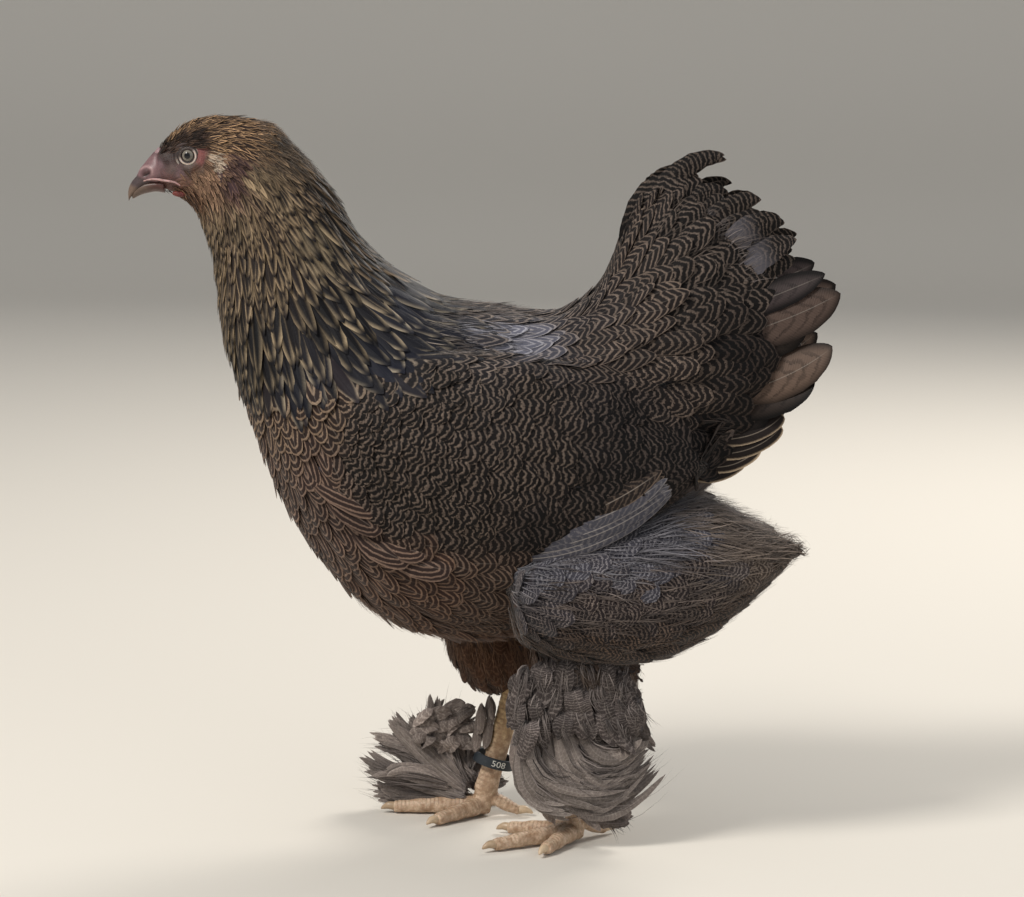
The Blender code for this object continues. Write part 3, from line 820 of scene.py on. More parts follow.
BODY_ANCHORS = anchors("""
HEAD
BROW -230 5 481 0.75 0.1 0.6 4.2 1.5 1.6
CROWN -224 6 488 0.8 0.1 0.6 5.2 1.6 1.8
CROWN -216 7 495 0.85 0.05 0.5 7 1.8 1.9
CROWN -203 9 501 1 0.02 0.1 9.5 2.1 2.1
CROWN -186 11 502 0.99 0.04 -0.08 12 2.4 2.4
CROWN -168 12 499 0.95 0.04 -0.28 15 2.8 2.8
NAPE -152 12 490 0.78 0.03 -0.62 20 3.6 3.4
BROW -217 12 486 0.95 0.02 0.35 6 1.6 1.7
BROW -207 15 487 1 0 0.12 7.5 1.7 1.7
BROW -224 9 480 0.9 0.05 0.4 4.2 1.4 1.7
CROWN -193 18 491 1 0 -0.1 9.5 2.1 2.1
CROWN -174 20 487 0.93 0 -0.36 13 2.5 2.6
CROWN -190 20 483 0.99 0 -0.15 8 1.9 1.9
CHEEK -188.5 21 475.5 0.9 0 -0.45 6.5 1.6 1.6
SHADE -184.5 21 472 0.8 0 -0.6 7 1.6 1.6
CHEEK -190 20 469 0.8 0 -0.6 6 1.5 1.6
SHADE -177 22 474 0.75 0 -0.66 10 2.2 2.2
SHADE -180 22 462 0.5 0 -0.87 10 2.2 2.4
HACKLE_HIGH -169 23 468 0.65 0 -0.76 13 2.6 2.8
CHEEK -197 19 465 0.8 0.03 -0.6 5 1.3 1.6
CHEEK -207 16 458 0.75 0.05 -0.65 4.6 1.2 1.6
RUST -216 13 453 0.75 0.1 -0.65 4.2 1.1 1.8
CHEEK -197 19 455 0.5 0.03 -0.87 6.5 1.5 1.8
RUST -206 14 447 0.5 0.05 -0.86 7 1.4 1.8
RUST -214 5 447 0.6 0.05 -0.8 7 1.3 1.8
RUST -226 5 450 0.9 0.05 -0.4 4 1.1 2.2
HACKLE
HACKLE_HIGH -204 6 436 0.3 0.02 -0.95 16 2.4 2.7
HACKLE_HIGH -194 18 440 0.3 0.05 -0.95 18 2.5 2.8
HACKLE_HIGH -196 8 418 0.12 0.03 -1 24 3.3 3.8
HACKLE_HIGH -178 25 445 0.3 0.08 -0.95 24 3.2 3.6
HACKLE_HIGH -155 27 462 0.5 0.08 -0.86 25 3.5 3.9
NAPE -132 12 468 0.64 0.02 -0.76 26 4.4 4.6
HACKLE_HIGH -190 9 395 0.03 0.02 -1 30 4.4 5
HACKLE_HIGH -165 32 420 0.25 0.1 -0.96 30 5.2 5.8
HACKLE -130 33 436 0.5 0.08 -0.86 34 5.6 6.2
NAPE -104 14 436 0.66 0.03 -0.75 38 6.4 6.6
HACKLE -188 12 365 0.03 0.04 -1 30 6.4 6.6
HACKLE -160 44 378 0.28 0.12 -0.95 42 8.4 8
HACKLE -118 48 395 0.54 0.12 -0.83 46 10 8.8
HACKLE_LOW -80 34 402 0.76 0.08 -0.63 46 11 9
HACKLE_LOW -98 60 362 0.6 0.1 -0.78 48 13 10.4
HACKLE_LOW -140 56 350 0.42 0.12 -0.9 42 11 9.4
HACKLE_LOW -52 24 390 0.95 0.04 -0.28 42 12 9.6
HACKLE_LOW -58 55 372 0.85 0.1 -0.5 44 13 10.4
HACKLE -184 14 345 0.1 0.04 -1 27 8 7.6
HACKLE -176 45 342 0.2 0.12 -0.97 30 9 8.4
BREAST
BREAST_HIGH -180 16 318 0.15 0.05 -0.98 25 12 8.6
BREAST_HIGH -158 60 316 0.3 0.1 -0.95 26 12.5 9
BREAST_HIGH -120 70 322 0.45 0.08 -0.88 27 13 9.4
BREAST -166 25 280 0.25 0.07 -0.96 28 13 9.8
BREAST -128 76 280 0.48 0.1 -0.86 30 14 10.2
BREAST -145 30 228 0.55 0.1 -0.82 32 15.5 11
BREAST -110 80 232 0.7 0.08 -0.7 36 16.5 11.4
BREAST_LOW -105 40 180 0.8 0.07 -0.58 34 17 12
BREAST_LOW -72 85 200 0.95 0.03 -0.25 38 18 12.4
BREAST_LOW -60 55 155 0.95 0.03 -0.3 36 18 12.4
FLANK -20 88 182 1 0 -0.1 40 18 12.4
FLANK -20 60 150 0.97 0 -0.25 38 18 12.4
DOWN
BELLY -70 12 148 0.95 0.03 -0.3 30 15 9.5
BELLY -15 40 136 0.85 0 -0.5 32 16 9.5
BELLY 10 70 150 0.8 0 -0.55 34 17 10
BELLY 45 20 142 0.97 0 0.1 34 17 10
VENT 100 20 185 0.85 0 0.45 38 18 10.5
VENT 140 35 232 0.85 0 0.4 40 18 11
WING
WING -92 84 312 0.82 0.08 -0.55 20 12 7.8
WING -97 88 278 0.8 0.05 -0.6 21 12.5 8.2
WING -80 92 250 0.88 0.02 -0.45 23 13 8.6
WING -50 96 325 0.93 0.02 -0.33 24 13 8.8
WING -50 103 280 0.93 0 -0.33 25 14 9.2
WING -48 98 235 0.96 0 -0.12 27 15 9.6
WING 5 96 325 0.96 0 -0.22 29 15.5 10.2
WING 5 105 275 0.98 0 -0.12 30 16 10.4
WING_LOW 5 98 222 0.98 0 0 33 17 10.6
WING_LOW 66 94 308 0.98 0 -0.15 35 18 11.2
WING_LOW 60 101 265 0.99 0 0.05 35 18 11.2
WING_LOW 65 92 232 0.96 0 0.2 35 18 11.2
WING_LOW 110 85 280 0.98 -0.05 0 40 19 12
WING_LOW 120 75 258 0.95 -0.1 0.2 40 19 12
BACK
SADDLE -20 25 380 1 0.03 -0.05 38 11 9.4
SADDLE -24 70 354 0.98 0.08 -0.2 38 11 9.4
SADDLE_BLUE -8 53 365 1 0.05 -0.05 38 11 9.4
SADDLE 32 25 380 1 0.02 0.12 42 13 10.2
TAIL_ROOT 45 68 356 0.99 0.05 -0.1 40 14 10.4
TAIL_ROOT 72 22 396 0.75 0.02 0.66 42 15 10.8
TAIL_ROOT 85 62 372 0.93 0.03 0.35 42 16 11.2
TAIL
TAIL_ROOT 100 66 325 0.99 0.02 -0.05 46 18 12.4
TAIL_ROOT 92 14 432 0.45 0.05 0.9 44 17 12
TAIL 106 40 420 0.62 0.06 0.78 50 19 13
TAIL 120 56 385 0.86 0.04 0.5 54 21 14
TAIL_LOW 128 66 335 0.99 0 0.08 56 22 14.6
TAIL_LOW 128 68 285 0.97 0 -0.2 52 21 14
TAIL 145 26 446 0.72 0.05 0.7 50 20 13.6
TAIL 166 44 405 0.9 0.03 0.4 56 24 15
TAIL_LOW 180 52 345 1 0 0.05 58 25 15.4
TAIL_LOW 170 60 290 0.95 0 -0.3 50 22 14.4
DOWN
VENT 206 10 345 0.6 0 0.8 34 18 11
VENT 202 12 300 0.75 0 0.65 34 18 11
VENT 180 18 265 0.85 0 0.5 36 18 11
VENT 190 10 400 0.5 0 0.85 30 16 10
""")
CUSHION_ANCHORS = anchors("""
CUSHION
CUSHION 16 60 190 0.93 0.15 -0.3 32 18 10
CUSHION_LOW 14 60 155 0.9 0.1 -0.4 32 18 10
CUSHION 42 98 186 0.97 0.02 -0.15 38 20 11
CUSHION_BLUE 30 90 198 0.97 0.02 -0.15 36 19 11
CUSHION_BLUE 76 100 200 0.97 0.02 -0.1 40 21 11.4
CUSHION 72 103 178 0.98 0 -0.06 40 21 11.4
CUSHION_LOW 50 88 142 0.98 0 -0.05 40 21 11.4
CUSHION_BLUE 108 92 222 0.98 -0.05 0.05 44 22 12
CUSHION 105 100 186 0.98 -0.03 0.04 46 23 12.4
CUSHION_LOW 105 84 140 0.96 -0.04 0.22 46 22 12.2
CUSHION_TIP 138 84 232 0.95 -0.1 -0.12 50 22 12.6
CUSHION_TIP 158 84 192 0.96 -0.12 0.15 52 23 12.6
CUSHION_LOW 160 66 160 0.88 -0.12 0.44 50 22 12.4
CUSHION_TIP 192 58 205 0.97 -0.12 0.1 44 20 11.6
VENT 100 8 185 0.97 0 0.1 42 20 13
CUSHION_BLUE 90 50 236 0.98 0 0.02 44 20 12.6
""")
DRUM_ANCHORS = anchors("""
DRUM
BELLY 0 60 170 0.2 0 -0.98 30 14 8.6
BELLY 0 30 130 0.2 0 -0.98 26 12 8
DRUM 0 50 95 0.3 0 -0.95 22 10 7
DRUM 0 74 128 0.3 0 -0.95 24 11 7.4
""")


@dataclass
class PlumageMap:
    """Reads at any place what the nearest anchors say of the feathers there."""

    anchors: list
    sharpness: float = 4.0

    def __post_init__(self) -> None:
        """Sets the anchors out as arrays."""
        numbers = [row for _, _, row in self.anchors]
        self.places = np.array([row[:3] for row in numbers])
        self.tracts = [tract for tract, _, _ in self.anchors]
        looks = [look.row() for _, look, _ in self.anchors]
        self.rows = np.array([[*unit(n[3:6]), *n[6:], *look] for n, look in zip(numbers, looks)])

    def weights(self, points: Array) -> Array:
        """The share of each anchor at each place."""
        return nearness(folded(points), self.places, 1.0, self.sharpness)

    def read(self, points: Array) -> tuple[Array, list, Array]:
        """What the anchors say.

        Args:
            points: Bird millimetres, one row for each place.

        Returns:
            Rows of lie, sizes and look; the tract of each place; and its spacing.
        """
        share = self.weights(points)
        rows = share @ self.rows
        side = np.where(points[:, 1] < 0, -1.0, 1.0)
        rows[:, 1] *= side
        members = {}
        for number, tract in enumerate(self.tracts):
            members.setdefault(tract, []).append(number)
        names = list(members)
        totals = np.stack([share[:, members[t]].sum(1) for t in names], 1)
        return rows, np.array(names, object)[totals.argmax(1)], rows[:, 5]


@dataclass
class Surface:
    """A shell that feathers are rooted on and follow."""

    name: str
    nodes: list[str]
    anchors: list
    voxel: float = 4.0
    swell: float = 0.9
    rounds: int = 8
    shift: tuple[float, float, float] = (0.0, 0.0, 0.0)

    def build(self) -> None:
        """Fuses the solids and stores smooth normals on the shell."""
        self.shell = fused(self.name, self.nodes, self.voxel, self.swell, self.rounds)
        write(self.shell, "shell_normal", corner_normals(self.shell))
        self.map = PlumageMap(self.anchors)

    def scatter(self, tighter: float, seed: int, even: bool = True) -> tuple[Array, ...]:
        """Picks root places, usually with the anchors' spacing between them.

        Args:
            tighter: Share of the spacing that is used.
            seed: Start of the random draws.
            even: Whether places that are too near each other are left out.

        Returns:
            Bird millimetres of each root, its normal, its row from the map and its tract.
        """
        rng = np.random.default_rng(seed)
        mesh = self.shell.data
        mesh.calc_loop_triangles()
        corners = np.empty(len(mesh.loop_triangles) * 3, int)
        mesh.loop_triangles.foreach_get("vertices", corners)
        corners = corners.reshape(-1, 3)
        points, normals = bird_mm(coords(self.shell)), corner_normals(self.shell)
        a, b, c = (points[corners[:, k]] for k in range(3))
        area = np.linalg.norm(np.cross(b - a, c - a), axis=1) / 2
        spacing = self.map.read((a + b + c) / 3 - np.array(self.shift))[2] * tighter
        load = area / spacing**2
        tries = 5 if even else 0.8
        count = int(load.sum() * tries)
        pick = rng.choice(len(corners), count, p=load / load.sum())
        s, t = rng.random((2, count))
        flip = s + t > 1
        s[flip], t[flip] = 1 - s[flip], 1 - t[flip]
        w = np.stack([1 - s - t, s, t], 1)
        places = sum(points[corners[pick, k]] * w[:, k : k + 1] for k in range(3))
        outs = unit(sum(normals[corners[pick, k]] * w[:, k : k + 1] for k in range(3)))
        rows, tracts, spacing = self.map.read(places - np.array(self.shift))
        if even:
            keep = self.thin(places, spacing * tighter)
            places, outs, rows, tracts = places[keep], outs[keep], rows[keep], tracts[keep]
        return places, outs, rows, tracts

    @staticmethod
    def thin(places: Array, spacing: Array) -> list[int]:
        """Numbers of the places that keep their spacing, taken in order."""
        tree = KDTree(len(places))
        for number, place in enumerate(places):
            tree.insert(place, number)
        tree.balance()
        free = np.ones(len(places), bool)
        kept = []
        for number, place in enumerate(places):
            if free[number]:
                kept.append(number)
                for _, other, _ in tree.find_range(place, float(spacing[number])):
                    free[other] = False
        return kept


VARIANTS = 4  # of each outline, with their own notches and bends


class Cut(Enum):
    """Outlines of vanes.

    The numbers are faces along and across, how frayed the sides are, where the full width is
    reached, where it starts to fall, and two powers of that fall.
    """

    ROUND = (8, 4, 0.05, 0.4, 0.5, 3.0, 0.45)
    SHORT = (4, 2, 0.0, 0.3, 0.4, 2.2, 0.7)
    LANCE = (10, 4, 0.05, 0.3, 0.36, 1.9, 0.68)
    SOFT = (9, 4, 0.14, 0.35, 0.5, 2.4, 0.5)
    PLUME = (14, 4, 0.2, 0.3, 0.5, 2.2, 0.6)
    STIFF = (18, 6, 0.08, 0.5, 0.66, 2.0, 0.72)
    BLADE = (18, 6, 0.05, 0.5, 0.8, 2.6, 0.45)
    SICKLE = (18, 6, 0.2, 0.35, 0.5, 2.0, 0.7)
    WISP = (7, 2, 0.0, 0.2, 0.3, 1.4, 1.0)

    def width(self, u: float) -> float:
        """Half width at a share of the length, 1 at most."""
        rise, start, sharp, blunt = self.value[3:]
        return min(1.0, (u / rise) ** 0.6) * (1 - max(0.0, (u - start) / (1 - start)) ** sharp) ** blunt

    def template(self, number: int) -> Obj:
        """A closed thin vane: a front of many faces and one strip behind it.

        Args:
            number: Which variant, each with its own notches and bend.

        Returns:
            An object that isn't in the scene.
        """
        rows, cols, fray = self.value[:3]
        rng = np.random.default_rng(100 + number)
        bend = rng.uniform(-0.06, 0.06)
        shape, extra = [(0.0, 0.0, 0.0)], [(0.3, 0.0, 0.0)]
        for i in range(1, rows):
            u = 1 - (1 - i / rows) ** 1.4
            wide = self.width(u)
            for j in range(cols + 1):
                v, rim = 2 * j / cols - 1, j in (0, cols)
                reach = wide * (1 - fray * rng.random() if rim else 1.0)
                shape.append((u, v * reach + bend * u * u, 0.0))
                extra.append((wide, 0.0 if rim else 1.0, u))
        tip = len(shape)
        shape.append((1.0, bend, 0.0))
        extra.append((0.05, 0.0, 1.0))

        def at(i: int, j: int) -> int:
            """Number of the corner in that row and column."""
            return 1 + (i - 1) * (cols + 1) + j

        last = rows - 1
        front = [(0, at(1, j), at(1, j + 1)) for j in range(cols)]
        front += [(at(last, j), tip, at(last, j + 1)) for j in range(cols)]
        back = [(0, at(1, cols), at(1, 0)), (at(last, 0), at(last, cols), tip)]
        for i in range(1, last):
            front += [(at(i, j), at(i + 1, j), at(i + 1, j + 1), at(i, j + 1)) for j in range(cols)]
            back.append((at(i, 0), at(i, cols), at(i + 1, cols), at(i + 1, 0)))
        mesh = bpy.data.meshes.new(f"{self.name}_{number}")
        mesh.from_pydata(shape, [], front + back)
        mesh.update()
        made = bpy.data.objects.new(mesh.name, mesh)
        write(made, "shape", shape)
        write(made, "extra", extra)
        sides: dict = {}
        for polygon in mesh.polygons:
            for key in polygon.edge_keys:
                sides.setdefault(key, set()).add(polygon.index < len(front))
        rims = mesh.attributes.new("sharp_edge", "BOOLEAN", "EDGE")
        rims.data.foreach_set("value", [len(sides[tuple(sorted(e.vertices))]) > 1 for e in mesh.edges])
        return made


class FeatherTree:
    """The Geometry Nodes that turn root points into vanes on a shell."""

    INPUTS = (
        ("Roots", "NodeSocketGeometry"),
        ("Vanes", "NodeSocketCollection"),
        ("Shell", "NodeSocketObject"),
        ("Finish", "NodeSocketMaterial"),
        ("Camber", "NodeSocketFloat"),
        ("Thickness", "NodeSocketFloat"),
    )
    SPENT = (
        "shape", "extra", "size", "bend", "pose", "bow", "flow", "up", "root", "cell", "kind", "luck",
        "downy",
    )

    def __init__(self) -> None:
        """Builds the tree once, for every coat."""
        self.tree = bpy.data.node_groups.new("lay_feathers", "GeometryNodeTree")
        self.net = Net(self.tree)
        for name, kind in self.INPUTS:
            self.tree.interface.new_socket(name=name, in_out="INPUT", socket_type=kind)
        self.tree.interface.new_socket(name="Coat", in_out="OUTPUT", socket_type="NodeSocketGeometry")
        self.build()

    def named(self, name: str, kind: str = "FLOAT_VECTOR") -> Wire:
        """An attribute carried from the roots or the vane."""
        node = self.net.add("GeometryNodeInputNamedAttribute", {"Name": name}, data_type=kind)
        return self.net.out(node, "Attribute", kind == "FLOAT_VECTOR")

    def build(self) -> None:
        """Adds the nodes: instance, realize, bend to the shell, store, set the finish."""
        net = self.net
        start = net.add("NodeGroupInput")
        given = {name: start.outputs[name] for name, _ in self.INPUTS}
        source = {"Collection": given["Vanes"], "Separate Children": True}
        vanes = net.add("GeometryNodeCollectionInfo", source)
        laid = net.add("GeometryNodeInstanceOnPoints", {
            "Points": given["Roots"], "Instance": vanes.outputs[0], "Pick Instance": True,
            "Instance Index": self.named("kind", "INT"),
        })
        real = net.add("GeometryNodeRealizeInstances", {"Geometry": laid.outputs[0]})
        u, v, _ = self.named("shape").parts()
        half, face, course = self.named("extra").parts()
        length, width, lift = self.named("size").parts()
        depth, curl, sweep = self.named("bend").parts()
        arch, hug, twist = self.named("pose").parts()
        flow, up, root = self.named("flow"), self.named("up"), self.named("root")
        bow = self.named("bow")
        across = net.join("NORMALIZE", net.cross(up, flow * length + bow * (u * 2.0)))
        lateral = v * width * 0.5 + sweep * u * u * length
        lifted = up * (arch * u * (1.0 - u) * 4.0 * length + twist * v * u * width)
        flat = root + flow * (u * length) + bow * (u * u) + across * lateral
        shell = net.add("GeometryNodeObjectInfo", {"Object": given["Shell"]}, transform_space="ORIGINAL")
        ask = {"Mesh": shell.outputs["Geometry"], "Sample Position": flat}
        kind = "GeometryNodeSampleNearestSurface"
        place = net.add(kind, {**ask, "Value": self.position()}, data_type="FLOAT_VECTOR")
        out = net.add(kind, {**ask, "Value": self.named("shell_normal")}, data_type="FLOAT_VECTOR")
        near = net.out(place, "Value", True)
        normal = net.out(out, "Value", True)
        camber, thick = Wire(net, given["Camber"]), Wire(net, given["Thickness"])
        rise = lift * (u ** 1.4) - depth * ((1.0 - u) ** 1.6) + curl * u * u * u * length
        rise = rise - camber * v * v * width + thick * face * (1.0 - u * 0.6)
        hugged = near + normal * rise
        free = flat + up * rise + lifted
        hold = 1.0 - (1.0 - hug) * net.join("MINIMUM", u * u * 1.4, 1.0)
        hold = hold * net.ramp(hug, 0.0, 0.02)
        bent = free + (hugged - free) * hold
        east, north, high = bent.parts()
        bent = net.vector(east, north, net.join("MAXIMUM", high, FLOOR_GAP))
        moved = net.add("GeometryNodeSetPosition", {"Geometry": real.outputs[0], "Position": bent})
        tip = (1.0 - u) * length * 1000.0
        chance, downy = self.named("luck", "FLOAT"), self.named("downy", "FLOAT")
        inward = net.vector(v * width * 500.0, tip, half * width * 500.0)
        stored = self.store(moved.outputs[0], "vane", inward)
        stored = self.store(stored, "blade", net.vector(course, downy, chance))
        left, low, cell = self.named("cell").parts()
        patch = net.vector(left + (v * 0.46 + 0.5) * cell, low + (u * 0.92 + 0.04) * cell, 0.0)
        stored = self.store(stored, "OFBake", patch, "FLOAT2", "CORNER")
        for name in self.SPENT:
            stored = net.add("GeometryNodeRemoveAttribute", {"Geometry": stored, "Name": name}).outputs[0]
        smooth = net.add("GeometryNodeSetShadeSmooth", {"Geometry": stored})
        last = net.add("GeometryNodeRealizeInstances", {"Geometry": smooth.outputs[0]})
        cloth = {"Geometry": last.outputs[0], "Material": given["Finish"]}
        dressed = net.add("GeometryNodeSetMaterial", cloth)
        net.add("NodeGroupOutput", {0: dressed.outputs[0]})

    def store(
        self, geometry: bpy.types.NodeSocket, name: str, value: Wire, kind: str = "FLOAT_VECTOR",
        domain: str = "POINT",
    ) -> bpy.types.NodeSocket:
        """The geometry with a value stored on it."""
        given = {"Geometry": geometry, "Name": name, "Value": value}
        node = self.net.add("GeometryNodeStoreNamedAttribute", given, data_type=kind, domain=domain)
        return node.outputs[0]

    def position(self) -> bpy.types.NodeSocket:
        """The shell's own place at the sampled point."""
        return self.net.add("GeometryNodeInputPosition").outputs[0]

    def lay(
        self, roots: Obj, cut: Cut, shell: Obj, finish: Material,
        camber: float, thickness: float, name: str,
    ) -> Obj:
        """Runs the tree on one set of roots.

        Args:
            roots: Points with the attributes that the tree reads.
            cut: Outline of the vanes.
            shell: What the vanes follow.
            finish: Material of the coat.
            camber: How far a vane's sides bend down, as a share of its width.
            thickness: Half of a vane's thickness, in metres.
            name: Name of the piece.

        Returns:
            The coat as a plain mesh.
        """
        vanes = bpy.data.collections.new("vanes")
        templates = [cut.template(k) for k in range(VARIANTS)]
        for template in templates:
            vanes.objects.link(template)
        change = roots.modifiers.new("feathers", "NODES")
        change.node_group = self.tree
        values = {"Vanes": vanes, "Shell": shell, "Finish": finish, "Camber": camber, "Thickness": thickness}
        for item in self.tree.interface.items_tree:
            if item.in_out == "INPUT" and item.name in values:
                change[item.identifier] = values[item.name]
        coat = evaluated_copy(roots, name)
        roots.modifiers.clear()
        discard(roots, *templates)
        bpy.data.collections.remove(vanes)
        return coat


@dataclass
class Roots:
    """Feathers of one coat piece, as rows of arrays."""

    place: Array
    up: Array
    flow: Array
    length: Array
    width: Array
    ground: Array
    mark: Array
    style: Array
    pitch: Array
    downy: Array
    lace: Array
    lift: Array
    depth: Array
    hug: Array
    curl: Array
    sweep: Array
    arch: Array
    twist: Array
    bow: Array

    def __len__(self) -> int:
        """How many feathers there are."""
        return len(self.place)

    @staticmethod
    def from_rows(places: Array, ups: Array, rows: Array) -> "Roots":
        """Roots from a scatter's rows, lying flat on the shell."""
        flow = rows[:, :3]
        flow = unit(flow - ups * np.sum(flow * ups, axis=1, keepdims=True))
        looks = (rows[:, k].copy() for k in range(12, 16))
        zeros = np.zeros((7, len(places)))
        zeros[2] = 1.0
        return Roots(
            places, ups, flow, rows[:, 3].copy(), rows[:, 4].copy(), rows[:, 6:9].copy(),
            rows[:, 9:12].copy(), *looks, *zeros, np.zeros((len(places), 3)),
        )

    def only(self, keep: Array) -> "Roots":
        """The roots that are kept."""
        return Roots(*(getattr(self, name)[keep] for name in self.__dataclass_fields__))

    def turned(self, degrees: Array) -> None:
        """Turns each feather about its own normal."""
        turn = np.radians(degrees)[:, None]
        across = np.cross(self.up, self.flow)
        self.flow = unit(self.flow * np.cos(turn) + across * np.sin(turn))

    def cells(self) -> Array:
        """A patch of the baking map for each feather, next to those of its neighbours."""
        count = len(self)
        grid = math.ceil(math.sqrt(count))
        around = np.arctan2(self.place[:, 2] - MIDDLE_HEIGHT, self.place[:, 1] + 1e-6)
        along = self.place[:, 0]
        order = np.argsort(along, kind="stable")
        cells = np.zeros((count, 3))
        for row in range(grid):
            members = order[row * grid : (row + 1) * grid]
            members = members[np.argsort(around[members], kind="stable")]
            cells[members, 0] = np.arange(len(members)) / grid
            cells[members, 1] = row / grid
            cells[members, 2] = 1 / grid
        return cells

    def points(self, rng: np.random.Generator) -> Obj:
        """The roots as a mesh of loose points with attributes."""
        mesh = bpy.data.meshes.new("roots")
        mesh.from_pydata([tuple(p) for p in metres(self.place)], [], [])
        obj = link(bpy.data.objects.new("roots", mesh))
        size = np.stack([self.length * MM, self.width * MM, self.lift * MM], 1)
        bend = np.stack([self.depth * MM, self.curl, self.sweep], 1)
        pose = np.stack([self.arch, self.hug, self.twist], 1)
        trait = np.stack([self.style, self.pitch, self.lace], 1)
        for name, values in (
            ("root", metres(self.place)), ("bow", self.bow * MM), ("flow", self.flow), ("up", self.up),
            ("size", size), ("bend", bend), ("pose", pose), ("ground", self.ground), ("mark", self.mark),
            ("trait", trait), ("cell", self.cells()), ("luck", rng.random(len(self))), ("downy", self.downy),
            ("kind", rng.integers(0, VARIANTS, len(self))),
        ):
            write(obj, name, values)
        return obj


@dataclass(frozen=True)
class CoatStyle:
    """How one tract's feathers lie."""

    cut: Cut
    finish: VaneFinish
    lift: float = 0.0
    depth: float = 0.0
    slot: str = "plumage_body"
    camber: float = 0.07
    thickness: float = 0.12
    turn: float = 5.0
    ruffle: float = 0.06
    hug: float = 0.92
    longer: float = 1.0
    wider: float = 1.0
    vary: float = 0.14


SOFT = dict(down=linear(72, 66, 66), barb=0.9, barb_pitch=1.0, roughness=0.85, sheen=0.12, uneven=0.22)
STYLES = {
    Tract.HEAD: CoatStyle(
        Cut.SHORT,
        VaneFinish("head_vanes", pencil=0.0, lace=1.0, wobble=0.3, barb=0.4, barb_pitch=0.5, uneven=0.6),
        0.45, 0.7, "plumage_head", thickness=0.08, turn=9, ruffle=0.16, camber=0.12, longer=1.5, wider=1.2,
    ),
    Tract.HACKLE: CoatStyle(
        Cut.LANCE,
        VaneFinish("hackle_vanes", pencil=0.0, lace=1.0, tip_lace=0.0, crisp=-0.25, wobble=0.5, barb=0.6,
                   roughness=0.48, uneven=0.4),
        1.1, 2.2, "plumage_neck", camber=0.16, longer=1.3, wider=1.35, ruffle=0.04, turn=4,
    ),
    Tract.BREAST: CoatStyle(
        Cut.ROUND, VaneFinish("breast_vanes", lace=0.8, wobble=0.6, scallop=0.5, shaft=0.15, uneven=0.2),
        0.9, 3.0, turn=7, ruffle=0.08, wider=1.08,
    ),
    Tract.BACK: CoatStyle(
        Cut.LANCE, VaneFinish("saddle_vanes", lace=0.95, wobble=0.7, scallop=0.5, shaft=0.1, uneven=0.2),
        1.0, 3.0, turn=7, wider=1.25,
    ),
    Tract.WING: CoatStyle(
        Cut.ROUND, VaneFinish("wing_vanes", lace=0.15, chevron=0.18, wobble=1.3, scallop=1.7, uneven=0.12),
        0.7, 2.5, turn=6, ruffle=0.03, longer=1.1, wider=1.15,
    ),
    Tract.TAIL: CoatStyle(
        Cut.ROUND,
        VaneFinish("tail_covert_vanes", lace=0.6, chevron=0.42, wobble=1.5, scallop=1.2, barb=0.5),
        1.8, 4.0, turn=7, ruffle=0.12, hug=0.8, camber=0.1,
    ),
    Tract.DOWN: CoatStyle(
        Cut.SOFT, VaneFinish("vent_down", pencil=0.35, lace=0.0, **SOFT), 1.0, 3.5, "plumage_down",
        turn=16, ruffle=0.2, hug=0.75, camber=0.12,
    ),
    Tract.CUSHION: CoatStyle(
        Cut.SOFT, VaneFinish("cushion_vanes", pencil=0.95, lace=0.0, chevron=0.15, wobble=1.5, **SOFT),
        0.5, 4.2, "plumage_down", turn=9, ruffle=0.05, camber=0.06, wider=1.1,
    ),
    Tract.DRUM: CoatStyle(
        Cut.SOFT, VaneFinish("drum_vanes", pencil=0.5, lace=0.05, **SOFT), 0.8, 3.0, "plumage_down",
        turn=12, ruffle=0.1, hug=0.85, camber=0.1, longer=1.2,
    ),
}
WISPS = CoatStyle(
    Cut.WISP,
    VaneFinish("downy_hairs", pencil=0.0, lace=0.0, barb=0.15, roughness=0.7, sheen=0.25, uneven=0.4),
    0.0, 0.4, "plumage_down", camber=0.0, thickness=0.15, turn=8, hug=0.9,
)


def adopt(piece: Obj, slot: str, *nodes: str, finish: Finish | None = None) -> Obj:
    """Parents a piece to the root body and hides its solids, in place.

    Args:
        piece: The piece.
        slot: Not used.
        nodes: Solids that it stands for.
        finish: Its material, unless it has one.

    Returns:
        The piece.
    """
    if finish:
        piece.data.materials.append(finish.make())
    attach(piece, ROOT)
    if nodes:
        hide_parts(*nodes)
    triangles = sum(len(p.vertices) - 2 for p in piece.data.polygons)
    LOG.info("%s: %d triangles", piece.name, triangles)
    return piece


